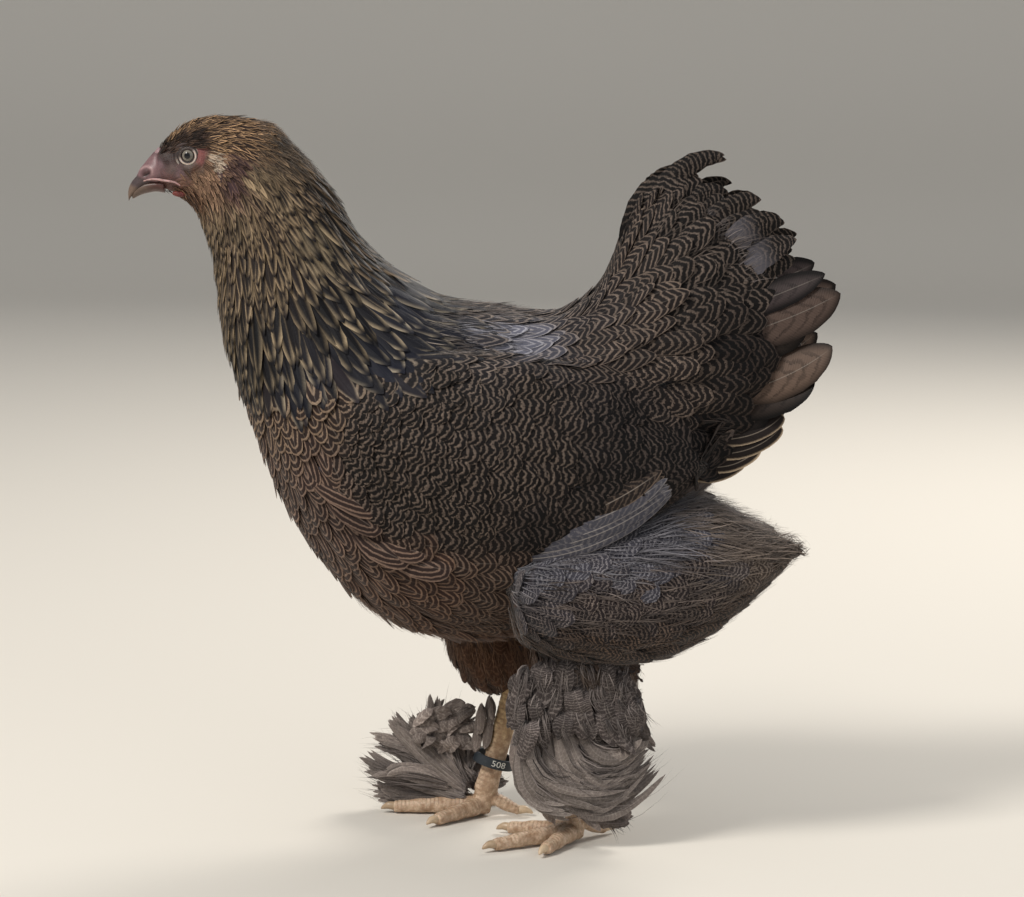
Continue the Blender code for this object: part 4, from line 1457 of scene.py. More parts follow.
@dataclass
class Plumage:
    """All feathers that follow a shell."""

    tree: FeatherTree
    finishes: dict = field(default_factory=dict)

    def finish(self, wanted: VaneFinish) -> Material:
        """The material of a finish, made once."""
        if wanted.name not in self.finishes:
            self.finishes[wanted.name] = wanted.make()
        return self.finishes[wanted.name]

    def coat(self, name: str, roots: Roots, style: CoatStyle, shell: Obj, seed: int) -> Obj:
        """Lays one coat piece.

        Args:
            name: Name of the piece.
            roots: Its feathers.
            style: How they lie.
            shell: What they follow.
            seed: Start of the random draws.

        Returns:
            The finished piece.
        """
        rng = np.random.default_rng(seed)
        count = len(roots)
        roots.length = roots.length * style.longer * (1 + style.vary * rng.uniform(-1, 1, count))
        roots.width = roots.width * style.wider * rng.uniform(0.88, 1.12, count)
        roots.lift = roots.lift + style.lift * rng.uniform(0.4, 1.6, count)
        loose = rng.random(count) < style.ruffle
        roots.lift = roots.lift + loose * rng.uniform(0.5, 1.6, count) * (0.6 + roots.length * 0.03)
        roots.depth = roots.depth + style.depth
        roots.hug = roots.hug * style.hug
        steady = min(1.0, style.vary / 0.14)
        roots.curl = roots.curl + rng.uniform(-0.02, 0.02, count) * steady
        roots.sweep = roots.sweep + rng.normal(0, 0.04, count) * steady
        roots.twist = roots.twist + rng.normal(0, 0.06, count)
        roots.turned(rng.normal(0, style.turn, count))
        points, finish = roots.points(rng), self.finish(style.finish)
        coat = self.tree.lay(points, style.cut, shell, finish, style.camber, style.thickness * MM, name)
        return adopt(coat, style.slot)

    def wisps(
        self, name: str, surface: Surface, tighter: float, seed: int, reach: tuple[float, float] = (14, 30),
        lift: float = 3.0, where: Callable | None = None,
    ) -> None:
        """Lays hair-fine barbs over a coat.

        Args:
            name: Name of the piece.
            surface: What they grow on.
            tighter: Share of the anchors' spacing between them.
            seed: Start of the random draws.
            reach: Their least and greatest length.
            lift: How far their tips stand off at most.
            where: Says of places whether hairs grow there.
        """
        places, ups, rows, _ = surface.scatter(tighter, seed, even=False)
        roots = Roots.from_rows(places, ups, rows)
        if where is not None:
            roots = roots.only(where(places))
        rng = np.random.default_rng(seed)
        count = len(roots)
        roots.length = rng.uniform(*reach, count)
        roots.width = rng.uniform(0.4, 0.8, count)
        share = rng.uniform(0.0, 0.8, (count, 1))
        roots.ground = roots.ground * (1 - share) + roots.mark * share
        roots.downy[:] = -1.0
        roots.sweep = rng.normal(0, 0.12, count)
        roots.lift = rng.uniform(0.4, 1.0, count) ** 2 * lift
        self.coat(name, roots, WISPS, surface.shell, seed)


@dataclass
class Skin:
    """The one skin under the feathers."""

    voxel: float = 3.4
    swell: float = 0.9
    nodes: tuple[str, ...] = (
        "head", "neck", "trunk", "tail_coverts", "wing_left", "wing_right", "thigh_fluff_left",
        "thigh_fluff_right", "drumstick_left", "drumstick_right",
    )
    # Where the skin lies under the outline: place, and how deep, in millimetres.
    depths = table("""
        -225 10 472 0.3  -205 12 500 1  -170 15 490 1.6  -205 15 458 0.6  -160 30 430 2.6
        -120 50 380 3.4  -160 50 300 3.4  -60 90 250 3.2  -60 40 160 4  0 30 380 3.4
        60 95 270 3.4  130 60 350 5  200 30 350 8  100 95 180 6  190 55 205 7
        0 45 100 3.4  60 45 100 3.4  100 5 180 4.5  110 30 440 5
    """, 4)
    # Flesh colours of the bare face: x and z, and the colour as on the screen.
    # The darkest rows, in the lore's hollow before the eye, are dark skin with painted shade.
    flesh = table("""
        -199 481 112 62 60  -197 475 114 66 62  -223 472 38 18 15  -224.5 477 50 34 29
        -216 475 48 34 30  -219 480 60 45 38  -207 485 42 30 28  -219 466 88 72 69
        -213.5 463.5 96 74 76  -227 464 94 69 69  -228.5 468.5 106 82 86  -208 466.5 74 60 54
        -203 465 72 47 33  -220.5 460 90 64 61  -223 456 78 50 43  -212 457 104 74 60
        -203 455 100 72 56  -220 449 84 44 36  -207 446 86 58 44  -226 484 54 38 34
    """, 5)

    def build(self) -> Obj:
        """Fuses, sinks and colours the skin.

        Returns:
            The finished piece.
        """
        skin = fused("hen_skin", list(self.nodes), self.voxel, self.swell, 5)
        points = bird_mm(coords(skin))
        sink = nearness(folded(points), self.depths[:, :3], 4.0, 3) @ self.depths[:, 3] + self.swell
        set_coords(skin, metres(points) - corner_normals(skin) * sink[:, None] * MM)
        relax(skin, 3)
        self.refine(skin)
        self.sculpt(skin)
        self.colour(skin)
        skin.data.materials.clear()
        return adopt(skin, "plumage_body", *self.nodes, finish=SkinFinish("hen_skin"))

    def refine(self, skin: Obj) -> None:
        """Splits the faces of the face finer."""
        lowest = 442
        for limit in (-178.0, -190.0, -196.0):
            with editing(skin) as bm:
                edges = [
                    e for e in bm.edges
                    if all(bird_mm(v.co)[0] < limit and bird_mm(v.co)[2] > lowest for v in e.verts)
                ]
                bmesh.ops.subdivide_edges(bm, edges=edges, cuts=1, use_grid_fill=True, smooth=0.6)
                bmesh.ops.triangulate(bm, faces=[f for f in bm.faces if len(f.verts) > 4])
        skin.data.shade_smooth()

    def sculpt(self, skin: Obj) -> None:
        """Works eye sockets, brow, cheek folds and the root of the bill into the face."""
        points = bird_mm(coords(skin))
        normals = corner_normals(skin)
        x, y, z = points.T
        dx, dz = x - Head.EYE[0], z - Head.EYE[2]
        off = np.hypot(dx, dz)
        near = (np.abs(y) > 5) & (x < -176)
        push = near * (-2.0 * bell(off, 5.8, 4) + 0.4 * bell(off - 9.2, 1.6))
        brow = bell(dz - 8.0 - dx * 0.2, 2.2) * bell(dx + 2, 9)
        lore = np.exp(-(((x + 220) / 4.5) ** 2 + ((z - 477) / 4.0) ** 2))
        push += near * (1.5 * brow - 1.0 * lore)
        for number in range(5):
            line = z - (450 + number * 3.1) - (x + 205) * (0.1 + 0.05 * number)
            line = line + 0.5 * np.sin(x * 0.7 + number)
            push -= near * 0.3 * bell(line, 0.6) * bell(x + 211, 11)
        for number in range(3):
            ring = off - (9.6 + number * 1.7) + 0.3 * np.sin(np.arctan2(dz, dx) * 5 + number)
            push -= near * 0.22 * bell(ring, 0.5) * (dz < 2)
        set_coords(skin, metres(points + normals * push[:, None]))

    def colour(self, skin: Obj) -> None:
        """Stores the coat's colours, and those of the bare face."""
        points = bird_mm(coords(skin))
        maps = (PlumageMap(BODY_ANCHORS), PlumageMap(CUSHION_ANCHORS))
        rows, other = (m.read(points)[0][:, 6:12] for m in maps)
        near = folded(points)[:, None]
        gaps = [np.min(np.linalg.norm(near - m.places[None], axis=2), axis=1) for m in maps]
        coat = np.where((gaps[1] < gaps[0])[:, None], other, rows)
        x, _, z = points.T
        tones = np.array([linear(*row[2:]) for row in self.flesh])
        flesh = nearness(np.stack([x, z], 1), self.flesh[:, :2], 0.8, 3.5) @ tones
        off = np.hypot(x - Head.EYE[0], z - Head.EYE[2])
        bare = smooth_step(x, -200, -204) * smooth_step(z, 442, 447)
        bare = bare * smooth_step(z - (x + 200) * 0.2, 489, 486)
        bare = np.maximum(bare, smooth_step(off, 13, 11) * smooth_step(z, 486, 483))
        bare = np.maximum(bare, np.exp(-(((x + 198) / 5) ** 2 + ((z - 479) / 6) ** 2)))
        share = bare[:, None]
        write(skin, "ground", coat[:, :3] * (1 - share) + flesh * 0.78 * share)
        write(skin, "mark", coat[:, 3:] * (1 - share) + flesh * 1.12 * share)
        write(skin, "bare", bare)


@dataclass
class Head:
    """Bill, comb, eyes, lids, lobes and wattles."""

    EYE = (-207.2, 11.6, 475.6)
    ball: float = 6.1
    spin: Array = field(default_factory=lambda: circle(64))

    def build(self) -> None:
        """Makes each piece and parents it to the root body."""
        self.bill()
        self.comb()
        for end, side in SIDES:
            self.eye(end, side)
            self.lids(end, side)
            lobe = self.blob(f"ear_lobe_{end}", (-184.5, side * 20.2, 461.0), (3.6, 2.8, 8.0), -8, 0.07, 3)
            self.finish(lobe, (74, 50, 50), (40, 27, 30), f"earlobe_{end}")
            fold = self.blob(f"wattle_fold_{end}", (-214.5, side * 9.2, 448.9), (4.6, 2.2, 1.9), 6, 0.12, 8)
            self.finish(fold, (108, 42, 36), (62, 28, 24), f"wattle_{end}")
            self.gape(end, side)

    @staticmethod
    def finish(piece: Obj, pale: tuple, deep: tuple, *nodes: str, by_shade: bool = False) -> None:
        """Gives a piece of bare skin its finish and parents it to the root body."""
        made = FleshFinish(f"{piece.name}_skin", linear(*pale), linear(*deep), by_shade=by_shade)
        adopt(piece, "red_skin", *nodes, finish=made)

    def bill(self) -> None:
        """The upper bill, horny before the nostrils, and the lower bill."""
        # x and z of the edge below and of the ridge above, and the half width.
        upper = table("""
            -224 456.6 -225.6 475.6 7  -228.6 455.4 -230.8 477.6 8  -232.5 454.9 -234.8 474 7.7
            -236 454.2 -238.6 469.4 7  -239.2 453.2 -242 465.2 6.2  -241.8 452 -243.8 461.6 5.4
            -244 450.4 -246.3 459 4.6  -246.2 448.6 -248.4 456.2 3.8  -247.9 446.9 -250 452.8 2.9
            -249.2 445.4 -250.7 449.2 2  -250 443.9 -250.6 446 1.1  -250.2 443.2 -250.4 444 0.4
        """, 5)
        bill = ring_object("upper_bill", [self.bill_ring(row, 48, 0.3) for row in smooth_line(upper, 56)])
        points = bird_mm(coords(bill))
        normals = corner_normals(bill)
        x, y, z = points.T
        lean = math.radians(28)
        a = (x + 237.4) * math.cos(lean) + (z - 463.2) * math.sin(lean)
        b = -(x + 237.4) * math.sin(lean) + (z - 463.2) * math.cos(lean)
        hole = np.exp(-(((a / 3.9) ** 2 + (b / 2.7) ** 2) ** 2))
        slit = np.exp(-(((a / 3.2) ** 2 + ((b + 1.2) / 0.8) ** 2) ** 2))
        rim = np.exp(-((np.hypot(a / 4.9, b / 3.7) - 1) / 0.2) ** 2) * smooth_step(a + b, -2.0, 2.0)
        seam = bell(z - 457.2 + (x + 236) * 0.25, 0.5) * (x > -244)
        step = smooth_step(-(x + 239.8) * 0.3 - (z - 459.5) * 0.95, 0.6, -0.6)
        push = (np.abs(y) > 1.5) * (0.5 * hole - 1.8 * slit + 0.5 * rim - 0.25 * seam) + 0.5 * step
        set_coords(bill, metres(points + normals * push[:, None]))
        tone = smooth_step(-(x + 240.2) * 0.35 - (z - 459.8) * 0.94, -1.4, 1.4)
        flesh = np.outer(1 - rim * 0.5, linear(112, 84, 86)) + np.outer(rim * 0.5, linear(180, 148, 145))
        face = smooth_step(x, -232.0, -227.5) * 0.7
        flesh = flesh * (1 - face)[:, None] + np.outer(face, linear(104, 80, 81))
        flesh = flesh * (1 - hole * 0.85)[:, None] + np.outer(hole * 0.85, linear(60, 36, 36))
        # Painted shade: the nostril's slit is coloured near black, for the shade inside the opening.
        flesh = flesh * (1 - slit * 0.95)[:, None] + np.outer(slit * 0.95, linear(24, 12, 12))
        high = smooth_step(z, 472, 477)[:, None]
        flesh = flesh * (1 - high * 0.3)
        low = smooth_step(z + (x + 240) * 0.5, 452.5, 448.5)[:, None]
        horn = np.array(linear(66, 54, 54)) * (1 - low) + np.array(linear(100, 82, 70)) * low
        write(bill, "ground", flesh * (1 - tone[:, None]) + horn * tone[:, None])
        adopt(bill, "bill", "bill_upper", finish=BillFinish("bill_horn"))
        lower = table("""
            -225 449 -225.5 458.6 7.6  -231 449.9 -231.4 458 7.1  -235.4 449.3 -236 457.4 6.3
            -239.6 448.3 -240.4 456.2 5.2  -243.2 447 -244.2 454 4  -245.8 445.7 -246.8 451.4 2.8
            -247.6 444.9 -248.2 448.6 1.2
        """, 5)
        lower = ring_object("lower_bill", [self.bill_ring(row, 28, -0.2) for row in smooth_line(lower, 24)])
        x = bird_mm(coords(lower))[:, 0]
        share = smooth_step(x, -230, -242)[:, None]
        soft, hard = np.array(linear(76, 48, 43)), np.array(linear(92, 76, 66))
        write(lower, "ground", soft * (1 - share) + hard * share)
        adopt(lower, "bill", "bill_lower", finish=BillFinish("lower_bill_horn"))

    @staticmethod
    def bill_ring(row: Array, count: int, keel: float) -> Array:
        """One ring of the bill, with a sharper ridge where keel is high."""
        x0, z0, x1, z1, half = row
        turn = circle(count)
        along, across = np.cos(turn), np.sin(turn)
        wide = half * across * (1 - keel * along) * (0.86 + 0.14 * np.abs(across))
        x = (x0 + x1) / 2 + (x1 - x0) / 2 * along
        z = (z0 + z1) / 2 + (z1 - z0) / 2 * along
        return metres(np.stack([x, wide, z], 1))

    def comb(self) -> None:
        """A low comb of small knobs in three rows."""
        whole = bmesh.new()
        rng = np.random.default_rng(5)
        ridge = table("-240.6 465.4  -237 469.8  -233.6 474.4  -231.2 477.4  -229.4 479.4", 2)
        base = smooth_line(ridge, 27)

        def ball(x: float, y: float, z: float, *size: float) -> None:
            """Adds a round knob."""
            place = Matrix.Translation(metres((x, y, z))) @ Matrix.Diagonal((*(s * MM for s in size), 1))
            bmesh.ops.create_icosphere(whole, subdivisions=2, radius=1.0, matrix=place)

        for number, (x, z) in enumerate(base):
            rise = math.sin(math.pi * (0.12 + 0.8 * number / 26))
            ball(x + 1.4, 0, z - 0.6, 2.2, 2.4 + 0.9 * rise, 2.2)
            for row in (-1, 0, 1):
                if (number + row) % 3 == 0:
                    size = (1.0 if row else 1.45) * (0.75 + 0.35 * rise) * rng.uniform(0.85, 1.15)
                    inner = 0.9 if row == 0 else 1.9
                    y = row * (2.0 + 0.6 * rise) + rng.uniform(-0.25, 0.25)
                    ball(x + inner, y, z - inner * 0.6, size, size, size * 1.15)
        comb = remeshed(poured("pea_comb", whole), 0.4)
        relax(comb, 2)
        self.finish(comb, (150, 120, 123), (98, 70, 74), "comb")

    def eye_axes(self, side: float) -> tuple[Array, ...]:
        """Centre of an eye, the way it looks, and its forward and upward directions."""
        centre = np.array((self.EYE[0], side * (self.EYE[1] - 0.6), self.EYE[2]))
        look = unit(np.array((-0.12, side, 0.02)))
        ahead = unit(np.array((-1.0, -0.12 * side, 0.0)))
        return centre, look, ahead, np.array((0.0, 0.0, 1.0))

    def rings(self, side: float, rows: list | Array, shape: Callable) -> list[Array]:
        """Rings round an eye's axis, from distance and height along it.

        Args:
            side: Which eye.
            rows: Distance and height of each ring.
            shape: Gives the distance and height round a ring.

        Returns:
            World metres of each ring.
        """
        centre, look, ahead, up = self.eye_axes(side)
        made = []
        for r, h in rows:
            wide, high = shape(r, h)
            ring = centre + look * np.broadcast_to(high, self.spin.shape)[:, None]
            made.append(metres(ring + np.broadcast_to(wide, self.spin.shape)[:, None] * (
                np.cos(self.spin)[:, None] * ahead + np.sin(self.spin)[:, None] * up)))
        return made

    def eye(self, end: str, side: float) -> None:
        """An eyeball with a bulging cornea."""
        turns = math.pi * np.arange(1, 28) / 28
        out = self.ball * np.cos(turns) + 0.55 * bell(turns, 0.62, 4)
        rows = np.stack([self.ball * np.sin(turns), out], 1)
        ball = ring_object(f"eyeball_{end}", self.rings(side, rows, lambda r, h: (r, h)))
        centre, look, _, _ = self.eye_axes(side)
        finish = EyeFinish(f"eye_{end}_finish", tuple(centre), tuple(look))
        adopt(ball, "eye", f"eye_{end}", finish=finish)

    def lids(self, end: str, side: float) -> None:
        """Ringed lids round the eye, which sink into the skin."""
        # Distance from the eye's axis, height along it and paleness, from the inner edge outwards.
        rows = smooth_line(table("""
            4.4 3.4 0  4.05 4.5 0  4.3 4.9 0  4.8 4.9 0.05  5.2 5 0.8  5.7 5 1  6.15 4.7 0.6  6.55 4.25 0
            7.2 4 0  7.9 4.1 0.4  8.6 3.8 0.45  9.2 3.1 0  9.9 2.2 0.1  10.8 -0.3 0  8 -2 0  5.5 0.5 0
        """, 3), 46)
        sine, cosine = np.sin(self.spin), np.cos(self.spin)

        def shape(r: float, h: float) -> tuple:
            """The lids' outline: lower and longer behind and below, tucked under the brow."""
            outer = float(smooth_step(r, 4.6, 6.5))
            corner = 0.1 * bell(np.minimum(self.spin, 2 * math.pi - self.spin), 0.4) * (r < 7)
            wide = r * (1 + 0.05 * np.cos(2 * self.spin) + corner - outer * (0.07 * sine - 0.03 * cosine))
            wide = wide * (1 - 0.1 * outer * np.maximum(sine, 0))
            wrinkle = 0.1 * np.sin(self.spin * 15 + r * 3) * (r > 6)
            return wide, h + wrinkle + 0.5 * outer * np.maximum(sine, 0) * (r < 8)

        lid = ring_object(f"eyelids_{end}", self.rings(side, rows[:, :2], shape), closed=True)
        points = bird_mm(coords(lid))
        centre, look, _, _ = self.eye_axes(side)
        away = points - centre
        reach = np.linalg.norm(away - np.outer(away @ look, look), axis=1)
        outside = rows[:38]  # the rings that show
        order = np.argsort(outside[:, 0])
        tilted = reach * (1 + 0.06 * away[:, 2] / np.maximum(reach, 1))
        pale = np.interp(tilted, outside[order, 0], outside[order, 2])
        # Painted shadow of the brow: the lids darken towards the top and the front.
        above = smooth_step((away[:, 2] * 0.85 - away[:, 0] * 0.5) / np.maximum(reach, 1), 0.0, 0.55)
        write(lid, "shade", pale * (1 - 0.94 * above))
        self.finish(lid, (190, 174, 162), (42, 30, 28), by_shade=True)

    @staticmethod
    def blob(name: str, centre: tuple, radii: tuple, tilt: float, lumps: float, seed: int) -> Obj:
        """A soft uneven flap of skin."""
        bm = bmesh.new()
        bmesh.ops.create_icosphere(bm, subdivisions=4, radius=1.0)
        made = poured(name, bm)
        points = coords(made)
        ways = unit(np.random.default_rng(seed).normal(size=(9, 3)))
        rough = sum(np.sin(points @ way * (3 + 2 * k)) / (2 + k) for k, way in enumerate(ways))
        points = points * (1 + lumps * rough[:, None])
        turn = np.array(Matrix.Rotation(math.radians(tilt), 3, "Y"))
        points = (points * np.array(radii)) @ turn.T + np.array(centre)
        set_coords(made, metres(points))
        made.data.shade_smooth()
        return made

    def gape(self, end: str, side: float) -> None:
        """The pale soft rim from the bill's edge to the corner of the mouth."""
        line = smooth_line(table("""
            -240 5.6 457.2  -236 7 458.6  -230.4 8.6 458.9  -223.9 10.8 458.2  -217.4 12.9 457.2
            -213.2 14.2 454.9
        """, 3) * (1, side, 1), 34)
        rings = []
        for i, point in enumerate(line):
            ahead = unit(line[min(i + 1, 33)] - line[max(i - 1, 0)])
            out = unit(np.cross(ahead, (0, 0, 1.0)))
            up = np.cross(out, ahead)
            size = 1.05 * math.sin(math.pi * (0.1 + 0.82 * i / 33)) ** 0.6
            spin = circle(14)
            ring = point + size * (np.cos(spin)[:, None] * out + 0.8 * np.sin(spin)[:, None] * up)
            rings.append(metres(ring))
        self.finish(ring_object(f"gape_{end}", rings), (178, 144, 140), (134, 100, 98))


@dataclass
class Leg:
    """A scaled shank with its foot and claws."""

    end: str
    side: float
    # Name, degrees from straight ahead, and length.
    toes: tuple = (
        ("inner", -50.0, 50.0), ("middle", 0.0, 66.0), ("outer", 34.0, 50.0), ("hind", 188.0, 26.0),
    )

    def __post_init__(self) -> None:
        """Sets the ankle and the hock."""
        self.ankle = np.array((ANKLE_X[self.end], self.side * STANCE, ANKLE_HEIGHT))
        self.hock = self.ankle + np.array((HOCK_BACK, self.side * 2.0, HOCK_RISE))

    def toe_line(self, turn: float, length: float) -> tuple[Array, Array]:
        """A toe's middle line and its heading."""
        hind = length < 30
        heading = math.radians(turn + TOE_TURN[self.end])
        ahead = np.array((-math.cos(heading), self.side * math.sin(heading), 0.0))
        start = self.ankle + np.array((-2, 0, 5.6 - ANKLE_HEIGHT + (6 if hind else 0)))
        drops = (0, 2.0, 6.2, 9.0) if hind else (0, 0.2, 1.4, 2.6)
        steps = zip((0, 0.35, 0.7, 1.0), drops)
        knots = [start + ahead * length * s - np.array((0, 0, d)) for s, d in steps]
        return smooth_line(knots, 40), ahead

    def build(self) -> None:
        """Makes the leg as one shell with raised scales, and its claws."""
        rings_of, lines = [], []
        shank = smooth_line([self.ankle + (self.hock - self.ankle) * s for s in (-0.06, 0.3, 0.7, 1.0)], 46)
        widths = np.interp(np.linspace(0, 1, 46), (0, 0.15, 0.5, 0.8, 1), (8.8, 7.9, 7.9, 8.9, 9.2))
        rings_of.append(self.tube(shank, widths, 24))
        lines.append((shank, 3.6, 1.0))
        base = smooth_line([self.ankle + np.array(p) for p in ((-3, 0, -15.5), (-2, 0, -8), (0, 0, 0))], 12)
        rings_of.append(self.tube(base, np.linspace(7.4, 8.4, 12), 24))
        lines.append((base, 3.6, 1.0))
        claws = []
        for name, turn, length in self.toes:
            line, ahead = self.toe_line(turn, length)
            share = np.linspace(0, 1, 40)
            size = 6.3 * (1.1 - 0.4 * share) * (0.82 if length < 30 else 1.0)
            size = size * (1 + 0.06 * np.cos(share * length / 15 * 2 * math.pi))
            rings_of.append(self.tube(line, size, 20))
            lines.append((line, 3.0, 0.8))
            claws.append(self.claw(line[-1], ahead))
        leg = remeshed(self.joined(f"scaled_leg_{self.end}", rings_of), 0.95)
        relax(leg, 4)
        self.scales(leg, lines)
        finish = ScaleFinish(f"leg_scales_{self.end}")
        adopt(leg, "leg_scales", f"shank_{self.end}", f"foot_{self.end}", finish=finish)
        made = self.joined(f"toe_claws_{self.end}", claws)
        made.data.shade_smooth()
        pale, deep = linear(200, 176, 146), linear(158, 134, 108)
        finish = HornFinish(f"claw_horn_{self.end}", pale, deep, tuple(self.ankle), (-1, 0, 0), 90)
        adopt(made, "claw", *(f"claw_{self.end}_{name}" for name, _, _ in self.toes), finish=finish)

    @staticmethod
    def joined(name: str, tubes: list) -> Obj:
        """One object of several closed tubes."""
        whole = bmesh.new()
        for rings in tubes:
            part = ring_object("tube", [metres(r) for r in rings])
            whole.from_mesh(part.data)
            discard(part)
        return poured(name, whole)

    @staticmethod
    def tube(line: Array, sizes: Array, count: int) -> list[Array]:
        """Rings round a line of points."""
        rings = []
        for i, (point, size) in enumerate(zip(line, sizes)):
            ahead = unit(line[min(i + 1, len(line) - 1)] - line[max(i - 1, 0)])
            out = unit(np.cross(ahead, (0, 1.0, 0) if abs(ahead[2]) > 0.7 else (0, 0, 1.0)))
            up = np.cross(out, ahead)
            spin = circle(count)
            rings.append(point + size * (np.cos(spin)[:, None] * out + np.sin(spin)[:, None] * up))
        return rings

    def claw(self, tip: Array, ahead: Array) -> list[Array]:
        """Rings of one curved claw."""
        up = np.array((0, 0, 1.0))
        steps = ((-1.5, 0.6), (3.2, 1.1), (6.4, 0.2), (9.2, -1.4))
        line = smooth_line([tip + ahead * reach + up * rise for reach, rise in steps], 16)
        sizes = np.interp(np.linspace(0, 1, 16), (0, 0.35, 0.75, 1), (3.2, 2.8, 1.7, 0.4))
        return self.tube(line, sizes, 14)

    def scales(self, leg: Obj, lines: list) -> None:
        """Raises plate rows along the shank and the toes, and keeps the soles on the floor."""
        points = bird_mm(coords(leg))
        normals = corner_normals(leg)
        best = np.full(len(points), np.inf)
        along = np.zeros(len(points))
        pitch = np.ones(len(points))
        rise = np.zeros(len(points))
        for line, step, height in lines:
            length = np.concatenate([[0], np.cumsum(np.linalg.norm(np.diff(line, axis=0), axis=1))])
            gap = np.linalg.norm(points[:, None] - line[None], axis=2)
            near = gap.argmin(1)
            closer = gap.min(1) < best
            best[closer] = gap.min(1)[closer]
            ahead = np.gradient(line, axis=0)
            offset = np.sum((points - line[near]) * unit(ahead[near]), axis=1)
            along[closer] = (length[near] + offset)[closer]
            pitch[closer] = step
            rise[closer] = height
        front = smooth_step(-normals[:, 0] * 0.6 + normals[:, 2] * 0.9, 0.05, 0.5)
        share = (along / pitch) % 1.0
        plate = 0.34 * (share**0.6) * smooth_step(share, 1.0, 0.9) * rise
        # Painted shade in the grooves between scales, strongest where the plates stand highest and none on the
        # undersides.
        groove = bell(np.minimum(share, 1 - share), 0.11) * (0.35 + 0.65 * front)
        below = smooth_step(-normals[:, 2], 0.3, 0.8)
        points = points + normals * (plate * (0.35 + 0.65 * front) - 0.12)[:, None]
        floor = points[:, 2] < 0.0
        points[floor, 2] = 0.0
        set_coords(leg, metres(points))
        write(leg, "groove", groove * (1 - below))
        write(leg, "shade", smooth_step(points[:, 2], 30, 80))


@dataclass
class LegRing:
    """The flat ring round the right shank, with plain digits."""

    inner: float = 13.6
    wall: float = 1.5
    height: float = 7.5
    along: float = 0.2
    digits: str = "508"

    def __post_init__(self) -> None:
        """Sets the ring's own axes."""
        leg = Leg("right", 1.0)
        self.axis = unit(leg.hock - leg.ankle)
        self.middle = leg.ankle + (leg.hock - leg.ankle) * self.along
        self.front = unit(np.cross((0, 1.0, 0), self.axis))

    def at(self, turn: Array, radius: Array, height: Array) -> Array:
        """World metres of places round the ring."""
        out = np.cos(turn)[:, None] * self.front + np.sin(turn)[:, None] * np.array((0, 1.0, 0))
        rise = self.axis * np.asarray(height)[:, None]
        return metres(self.middle + out * np.asarray(radius)[:, None] + rise)

    def build(self) -> None:
        """Makes the ring with rounded edges, and its digits."""
        inner, outer, half, soft = self.inner, self.inner + self.wall, self.height / 2, 0.4
        profile = (
            (inner, -half + soft), (inner + soft, -half), (outer - soft, -half), (outer, -half + soft),
            (outer, half - soft), (outer - soft, half), (inner + soft, half), (inner, half - soft),
        )
        r, h = np.array(profile).T
        rings = [self.at(np.full(len(r), turn), r, h) for turn in circle(96)]
        ring = ring_object("number_ring", rings, closed=True)
        ring.data.set_sharp_from_angle(angle=math.radians(40))
        plastic = BandFinish("ring_plastic", linear(38, 44, 50), linear(90, 94, 98))
        adopt(ring, "leg_band", "leg_band", finish=plastic)
        curve = bpy.data.curves.new("digits", "FONT")
        curve.body = self.digits
        curve.size = 7.2
        curve.extrude = 0.12
        curve.align_x, curve.align_y = "CENTER", "CENTER"
        source = link(bpy.data.objects.new("digits", curve))
        text = evaluated_copy(source, "ring_digits")
        discard(source)
        with editing(text) as bm:
            bmesh.ops.triangulate(bm, faces=bm.faces)
            bmesh.ops.subdivide_edges(bm, edges=[e for e in bm.edges if e.calc_length() > 0.9], cuts=2)
        flat = coords(text)
        faces_camera = math.radians(-78)
        turn = faces_camera + flat[:, 0] / outer
        placed = self.at(turn, outer + flat[:, 2], flat[:, 1] * 0.86)
        set_coords(text, placed)
        face_out(text)
        paint = BandFinish("ring_digit_paint", linear(205, 205, 198), linear(120, 120, 116))
        adopt(text, "leg_band", finish=paint)


def guide_lines(text: str) -> list[tuple]:
    """Root, middle and tip of each feather and one more number, from rows of ten."""
    return [(*row[:9].reshape(3, 3), row[9]) for row in table(text, 10)]


